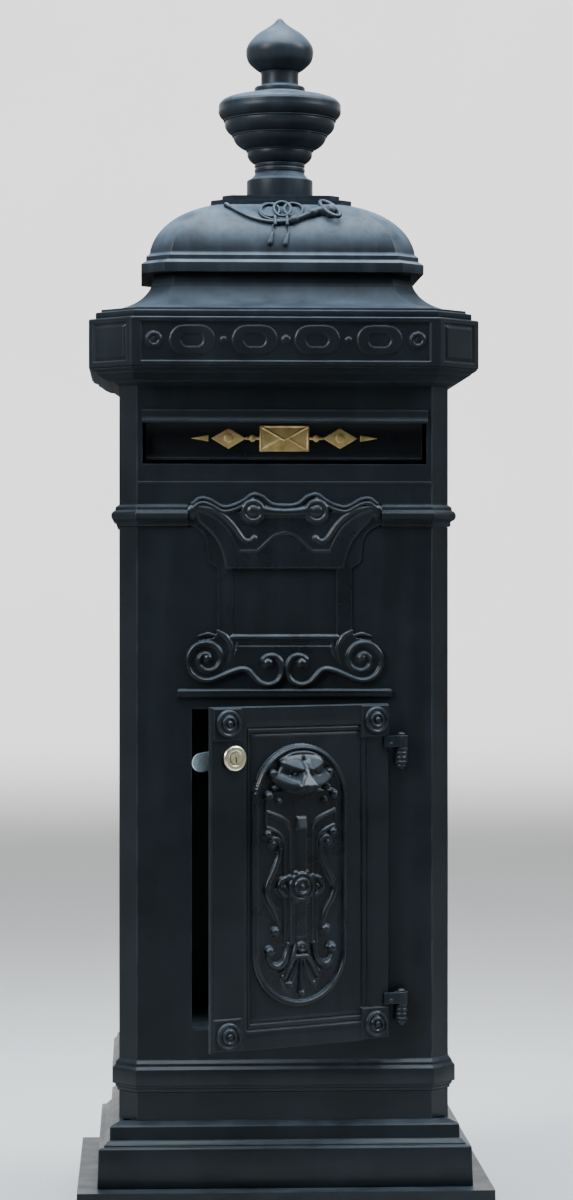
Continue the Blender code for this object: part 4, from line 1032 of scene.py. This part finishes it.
def build_medallion():
    """The long oval relief: a corded border round columns, scrolls, a wheel and a fan."""
    middle, half_width, half_height = 357, 54, 129
    straight = half_height - half_width

    def stadium(inset):
        r = half_width - inset
        top = arc((0, middle + straight), (r, r), 0, math.pi, 32)
        return top + arc((0, middle - straight), (r, r), math.pi, 2 * math.pi, 32)

    f = Field(grid(-56, 56, 0.7), grid(226, 488, 0.7))
    f.plate(stadium(0), 1.3, 0.7)
    f.plate(stadium(1.7), 2.2, 0.5)
    rope = stadium(4.2)
    f.bar(rope + rope[:1], 1.9, 1.6, 3.6)
    f.sink(stadium(6.6), 1.6, 0.8)
    ground = 0.6

    edge_low = [(18.4, 290), (18.4, 388), (20.6, 394), (27, 399.6), (38, 404.6)]
    edge_high = [(12.4, 290), (12.4, 402), (14.6, 408), (22, 413.4), (38, 419.6)]
    for edge, top in ((edge_low, ground + 1.2), (edge_high, ground + 2.4)):
        f.plate(mirrored(edge + [(38, 440)]), top, 0.6)
        f.rope(edge[1:], [1.5, 1.7, 1.9, 1.9], top - 0.4, [1.4, 2, 2.4, 2.4])
        f.rope(edge[:2], 1.3, top - 0.4, 1.2, smooth=False)
    f.plate(oblong(-6, 6, 296, 414), ground + 3.5, 0.8)
    f.plate([(-5.6, 402), (5.6, 402), (6.2, 414), (-6.2, 414)], ((402, 414), (7.4, 4.2)), 1.2)
    f.rope([(38.6, 436), (39.6, 420), (39.2, 404), (37.4, 399)], [1.4, 1.6, 1.6], ground, 2.6)
    f.dome(37.2, 398, 4.6, 4.6, ground, 6)
    f.rope([(23, 384), (24.4, 391), (29.6, 394), (34, 390.6), (32, 386.2)], 2.5, ground, 3.8)
    f.dome(30.2, 388.4, 3.2, 3.2, ground, 3.4)
    strap = [(23.5, 388), (25, 375), (30.5, 362), (36.5, 351), (38.8, 342), (35.4, 332),
             (29.6, 323), (26.4, 314), (26.6, 306)]
    f.rope(strap, [2.2, 3, 3.4, 3.4, 3, 2.4], ground - 0.2, [3, 4.4, 4.8, 4.4, 3.4])
    f.dome(29, 302.6, 5.4, 5.2, ground, 6.4)

    f.dome(0, 345.6, 14.2, 14.2, ground, 5, mirror=False)
    f.ring(0, 345.6, 12.4, 2.2, ground + 2.6, 3, mirror=False)
    f.ring(0, 345.6, 7.2, 2.4, ground + 2.6, 4.6, mirror=False)
    f.dome(0, 345.6, 3.2, 3.2, ground + 2.6, 5.2, mirror=False)
    f.rope([(16, 355), (22, 352.6), (24.4, 345.6), (21.6, 339.6), (17, 337)], [1.8, 2.8, 3.2, 2.6, 1.6],
           ground, [3, 4.4, 4.6, 3.4])
    f.dome(19, 345.6, 2.4, 2.6, ground, 4.4)
    for x, z in ((6.2, 359), (13, 355.4), (6.4, 332.4)):
        f.dome(x, z, 3.4, 3.2, ground, 5.4)

    f.rope([(37.2, 277), (33, 270.6), (26, 268.4), (19.6, 272.4), (16, 280), (14.4, 290)],
           [2.6, 3.8, 4.2, 3.4, 2], ground, [4, 5.6, 5.4, 3.4])
    f.dome(35.4, 283.6, 5.6, 5.8, ground, 7.6)
    f.rope([(23, 262), (16, 266.6), (10.6, 275), (6.6, 286), (4.6, 297)], [1.8, 2.6, 2.8, 1.8],
           ground, [3, 4.8, 4.8, 3])
    f.ring(0, 286.4, 3.6, 1.7, ground + 3, 2.8, mirror=False)
    f.dome(0, 286.4, 2, 2, ground + 3, 3.2, mirror=False)
    f.bar([(-6.8, 277.4), (6.8, 277.4)], 3.2, ground, 5)
    fan = [(-22, 268), (-22.4, 256), (-17.4, 244), (-9, 235.6), (0, 233)]
    f.plate(mirrored(fan), ground + 1)
    f.rope([(0, 274), (0, 256), (0, 243.6)], [1.6, 3.2, 4], ground, [3, 4, 5], mirror=False)
    f.dome(0, 241.4, 4.2, 4.2, ground, 6.2, mirror=False)
    f.rope([(3.6, 273), (8.4, 261), (12.8, 252)], [1.5, 3.2, 4], ground, [3, 4.4, 4.8])
    f.dome(13.4, 250.6, 4, 4, ground, 6.2)
    f.rope([(6, 275.6), (13.4, 268), (19, 258)], [1.4, 3, 3.6], ground, [2.8, 4.4, 4.4])
    obj = f.cast("medallion_casting", on_front(MEDALLION_BACK), placing=DOOR_OPEN)
    settle(obj, RELIEF, "door", "black_paint", "door_medallion")


def build_lion():
    """A lion's mask in high relief: brows, eyes, nose, muzzle, open mouth and mane."""
    f = Field(grid(-44, 44, 0.5), grid(411, 482, 0.5))
    f.dome(0, 455, 27.5, 19.5, 0, 11, mirror=False)
    crown = [(-24, 467), (-20, 473.4), (-10, 475.8), (0, 476.4)]
    f.plate(mirrored(crown), ((466, 476), (8.4, 4.6)), 1.6)
    f.rope([(0, 477.2), (8, 476.6), (16, 474.4), (25, 470.2)], [2.2, 2.2, 2, 1.4], 1, [4.4, 4.2, 3.2])
    brow = [(2.6, 461.2), (6, 459.2), (14, 461.8), (23.6, 466), (24.4, 468.6), (17, 471.4),
            (6, 471.6), (2.8, 468)]
    cheek = [(7, 443.6), (8.4, 450.6), (15, 453), (22, 456.6), (30, 458.8), (34.6, 455.6),
             (33, 451), (25, 447.4), (17, 444.6)]
    for side in (1, -1):
        f.plate([(side * x, z) for x, z in brow], ((459, 471), (18, 9.6)), 2.2, lean=0.18)
        f.plate([(side * x, z) for x, z in cheek], ((444, 459), (21, 12)), 2.6, lean=0.28)
    nose = [(0, 442.8), (6.4, 441.6), (10.4, 443.4), (9.6, 447), (4.4, 458), (3.2, 468.4)]
    f.plate(mirrored(nose), ((445, 468), (21, 10.6)), 2.6)
    f.dent(0, 467, 1.5, 4, 3.2, mirror=False)
    f.dent(10, 456.6, 5, 2.4, 5)
    f.dome(9.8, 456.2, 2.4, 1.8, 6, 4.6)
    f.dent(4.6, 442.6, 2, 1.6, 3)
    f.plate([(-22, 444), (22, 444), (17.6, 433), (12.4, 423), (9, 413), (-9, 413),
             (-12.4, 423), (-17.6, 433)], 0.4, 0.4)
    f.dome(32, 457.4, 5, 4.2, 0.4, 6.6, blend=0.8)
    f.dome(30.4, 443.2, 3.8, 3, 0.4, 5.2)
    f.dome(37, 435.6, 4.8, 4.8, 0.4, 7.4)
    f.dome(26, 430.4, 3.8, 3.6, 0.4, 7)
    f.blur(5)
    obj = f.cast("lion_casting", on_front(MEDALLION_BACK - 0.0012), cut=-0.4, back=-0.6, placing=DOOR_OPEN)
    settle(obj, RELIEF, "door", "black_paint", "lion_mask")


def build_rosettes():
    boss = [(0, 5.6), (1.6, 5.3), (2.7, 4.2), (3.3, 2.2), (4.2, 2), (4.9, 3.4),
            (6.2, 4.2), (7.5, 3.4), (8.3, 1.6), (9.2, 1.2), (10.2, 2.6),
            (11.8, 3.2), (12.9, 2.4), (13.5, 0.6), (13.5, -0.4), (0, -0.4)]
    for row, z in (("top", 0.507), ("bottom", 0.2045)):
        for side, x in (("left", -0.082), ("right", 0.087)):
            profile = soften(mm(reversed(boss)), 0.0004, steps=2)
            placing = DOOR_OPEN @ forward(x, DOOR_FACE - 0.0019, z)
            obj = turned("rosette_boss_%s_%s" % (row, side), profile, 48, placing=placing)
            settle(obj, RELIEF, "door", "black_paint", "rosette_%s_%s" % (row, side))


def build_hinges():
    """Each hinge: a ribbed lug on the housing, a knuckle with its strap on the door, and a pin."""
    x, y = HINGE["pos_m"][:2]

    def upright(name, profile, low, closed=False):
        placing = Matrix.Translation((x, y, 0))
        return turned(name, soften(mm(profile, low), 0.0004, steps=2), 32, closed=closed, placing=placing)

    for place, low in (("upper", 0.4595), ("lower", 0.2035)):
        middle, top = low + 0.0195, low + 0.0315
        rings = [(2.6, 0.2), (4.2, 0), (5, 1), (4.4, 2.2), (5.6, 3.6), (6.2, 5.2), (5, 6.4), (5.8, 7.8),
                 (6.5, 9.4), (5.4, 11), (6.2, 12.4), (6.6, 14.2), (5.6, 15.6), (6.6, 17.2), (6.6, 18.9),
                 (5.8, 19.5), (2.6, 19.5)]
        barrel = upright("barrel", rings, low, closed=True)
        root = [(x + 0.008, FACE + 0.0004), (x - 0.008, FACE + 0.0004),
                (x - 0.0058, y + 0.001), (x + 0.0058, y + 0.001)]
        web = [(soften(root, 0.001, True, 2), z) for z in (low + 0.003, middle - 0.0008)]
        settle(joined("hinge_lug_casting_" + place, [barrel, loft("web", web, closed=False)]),
               BLACK, "housing", "black_paint", "hinge_lug_" + place)

        knuckle = [(3, 19.8), (6, 19.8), (6.6, 20.7), (6.6, 29.3), (6.9, 29.9), (6.9, 30.9),
                   (6.2, 31.5), (3, 31.5)]
        shell = upright("knuckle", knuckle, low, closed=True)
        tip, foot = 0.0965, DOOR_FACE - 0.0002
        strap = [(tip, foot), (tip, DOOR_FACE - 0.0026), (0.099, DOOR_FACE - 0.004),
                 (x, DOOR_FACE - 0.009), (x, DOOR_FACE - 0.001), (x - 0.0058, foot)]
        flat = [(soften(strap, 0.0008, True, 2), z) for z in (middle + 0.0006, top - 0.0004)]
        leaf = loft("strap", flat, closed=False)
        leaf.data.transform(DOOR_OPEN)
        screw = turned("screw", [(0, 0.0016), (0.0012, 0.0013), (0.0019, 0.0004), (0.002, -0.0004)], 20,
                       placing=DOOR_OPEN @ forward(0.103, DOOR_FACE - 0.0042, (middle + top) / 2 - 0.002))
        settle(joined("hinge_strap_casting_" + place, [shell, leaf, screw]),
               BLACK, "door", "black_paint", "hinge_leaf_" + place)

        head = [(0, -2.2), (1.8, -2), (2.7, -1.2), (2.7, 31.7), (4.2, 31.8), (4.3, 32.7),
                (3.4, 34.1), (1.8, 34.8), (0, 35)]
        obj = upright("hinge_pin_turned_" + place, head, low)
        settle(obj, DARK_STEEL, "door", "zinc_steel", "hinge_pin_" + place)


def build_lock():
    seat = 0.0003
    face = seat + 0.003
    body = [(0.0065, face - 0.0012), (0.0072, face - 0.0002), (0.008, face), (0.0108, face),
            (0.0119, face - 0.0006), (0.0124, face - 0.0016), (0.0124, seat), (0.0094, seat),
            (0.0094, -0.02), (0.0065, -0.02)]
    placing = DOOR_OPEN @ forward(-0.0745, DOOR_FACE, 0.4733)
    obj = turned("lock_case", soften(list(reversed(body)), 0.0005, steps=3), 64, closed=True, placing=placing)
    settle(obj, BRASS, "door", "brass", "lock_body")


# ---------------------------------------------------------------- stage, light and camera

def build_stage():
    """A pale round floor that curves up into a wall, well outside every view's camera."""
    flat, radius, height = 10.0, 2.5, 9.0
    profile = [(0.0, 0.0), (flat, 0.0)]
    profile += arc((flat, radius), (radius, radius), -math.pi / 2, 0, 16)[1:]
    profile += [(flat + radius, height)]
    below = 0.0005  # keeps the paper clear of the base's underside
    floor = turned("studio_floor", [(r, z - below) for r, z in profile], 96, sharp=180.0)
    material, tree, p = shader("pale_studio_paper")
    n = Nodes(tree)
    place = n.add("ShaderNodeTexCoord").outputs["Object"]
    depth = n.add("ShaderNodeSeparateXYZ", {0: place}).outputs["Y"]
    pale = n.mix(n.spread(n.noise(place, 1.3), 0.3, 0.7), (0.76, 0.755, 0.75, 1.0), (0.79, 0.785, 0.78, 1.0))
    colour = n.mix(n.spread(depth, -6.0, -0.3), (0.30, 0.30, 0.30, 1.0), pale)
    tree.links.new(colour, p.inputs["Base Color"])
    p.inputs["Roughness"].default_value = 0.9
    p.inputs["Specular IOR Level"].default_value = 0.2
    floor.data.materials.append(material)


def area_light(name, place, aim, size, power, tint, spread):
    data = bpy.data.lights.new(name, "AREA")
    data.shape = "RECTANGLE"
    data.size, data.size_y = size
    data.energy = power
    data.color = tint
    data.spread = math.radians(spread)
    light = link(name, data)
    light.location = place
    light.rotation_euler = (Vector(aim) - Vector(place)).to_track_quat("-Z", "Y").to_euler()


def build_light():
    world = bpy.data.worlds.new("studio")
    world.use_nodes = True
    background = world.node_tree.nodes["Background"]
    background.inputs["Color"].default_value = (0.80, 0.90, 1.0, 1.0)
    background.inputs["Strength"].default_value = 0.04
    bpy.context.scene.world = world
    panels = (
        # name, place, aim, size, power, tint, spread
        ("sky_panel", (0.0, -0.35, 2.55), (0.0, 0.0, 1.0), (1.9, 1.5), 34.0, (0.76, 0.89, 1.0), 100.0),
        ("right_panel", (2.6, -0.8, 2.7), (0.0, 0.0, 1.0), (1.2, 1.6), 12.0, (0.84, 0.93, 1.0), 50.0),
        ("left_panel", (-2.4, -1.8, 2.4), (0.0, 0.0, 0.8), (1.0, 1.6), 14.0, (0.88, 0.95, 1.0), 50.0),
        ("ceiling_panel", (0.0, 1.0, 8.5), (0.0, 1.01, 0.0), (13.0, 12.0), 560.0, (0.95, 0.98, 1.0), 180.0),
        ("wall_panel", (0.0, 6.0, 6.5), (0.0, 12.0, 1.6), (12.0, 2.0), 900.0, (1.0, 1.0, 1.0), 130.0))
    for panel in panels:
        area_light(*panel)


def build_camera():
    """A level camera a little left of the middle, about half way up the object."""
    data = bpy.data.cameras.new("photo_angle")
    data.lens = 91.5
    data.sensor_width = 36.0
    data.shift_y = -0.01417
    camera = link("photo_angle", data)
    camera.location = (-0.142, -3.16, 0.643)
    camera.rotation_euler = (math.radians(90.0), 0.0, math.radians(-2.7))
    bpy.context.scene.camera = camera


dress_cad_nodes()
build_mouldings()
build_frieze()
build_head_details()
build_dome()
build_horn()
build_finial()
build_cartouche()
build_drip_bar()
build_flap()
build_door_panel()
build_medallion()
build_lion()
build_rosettes()
build_hinges()
build_lock()
build_stage()
build_light()
build_camera()
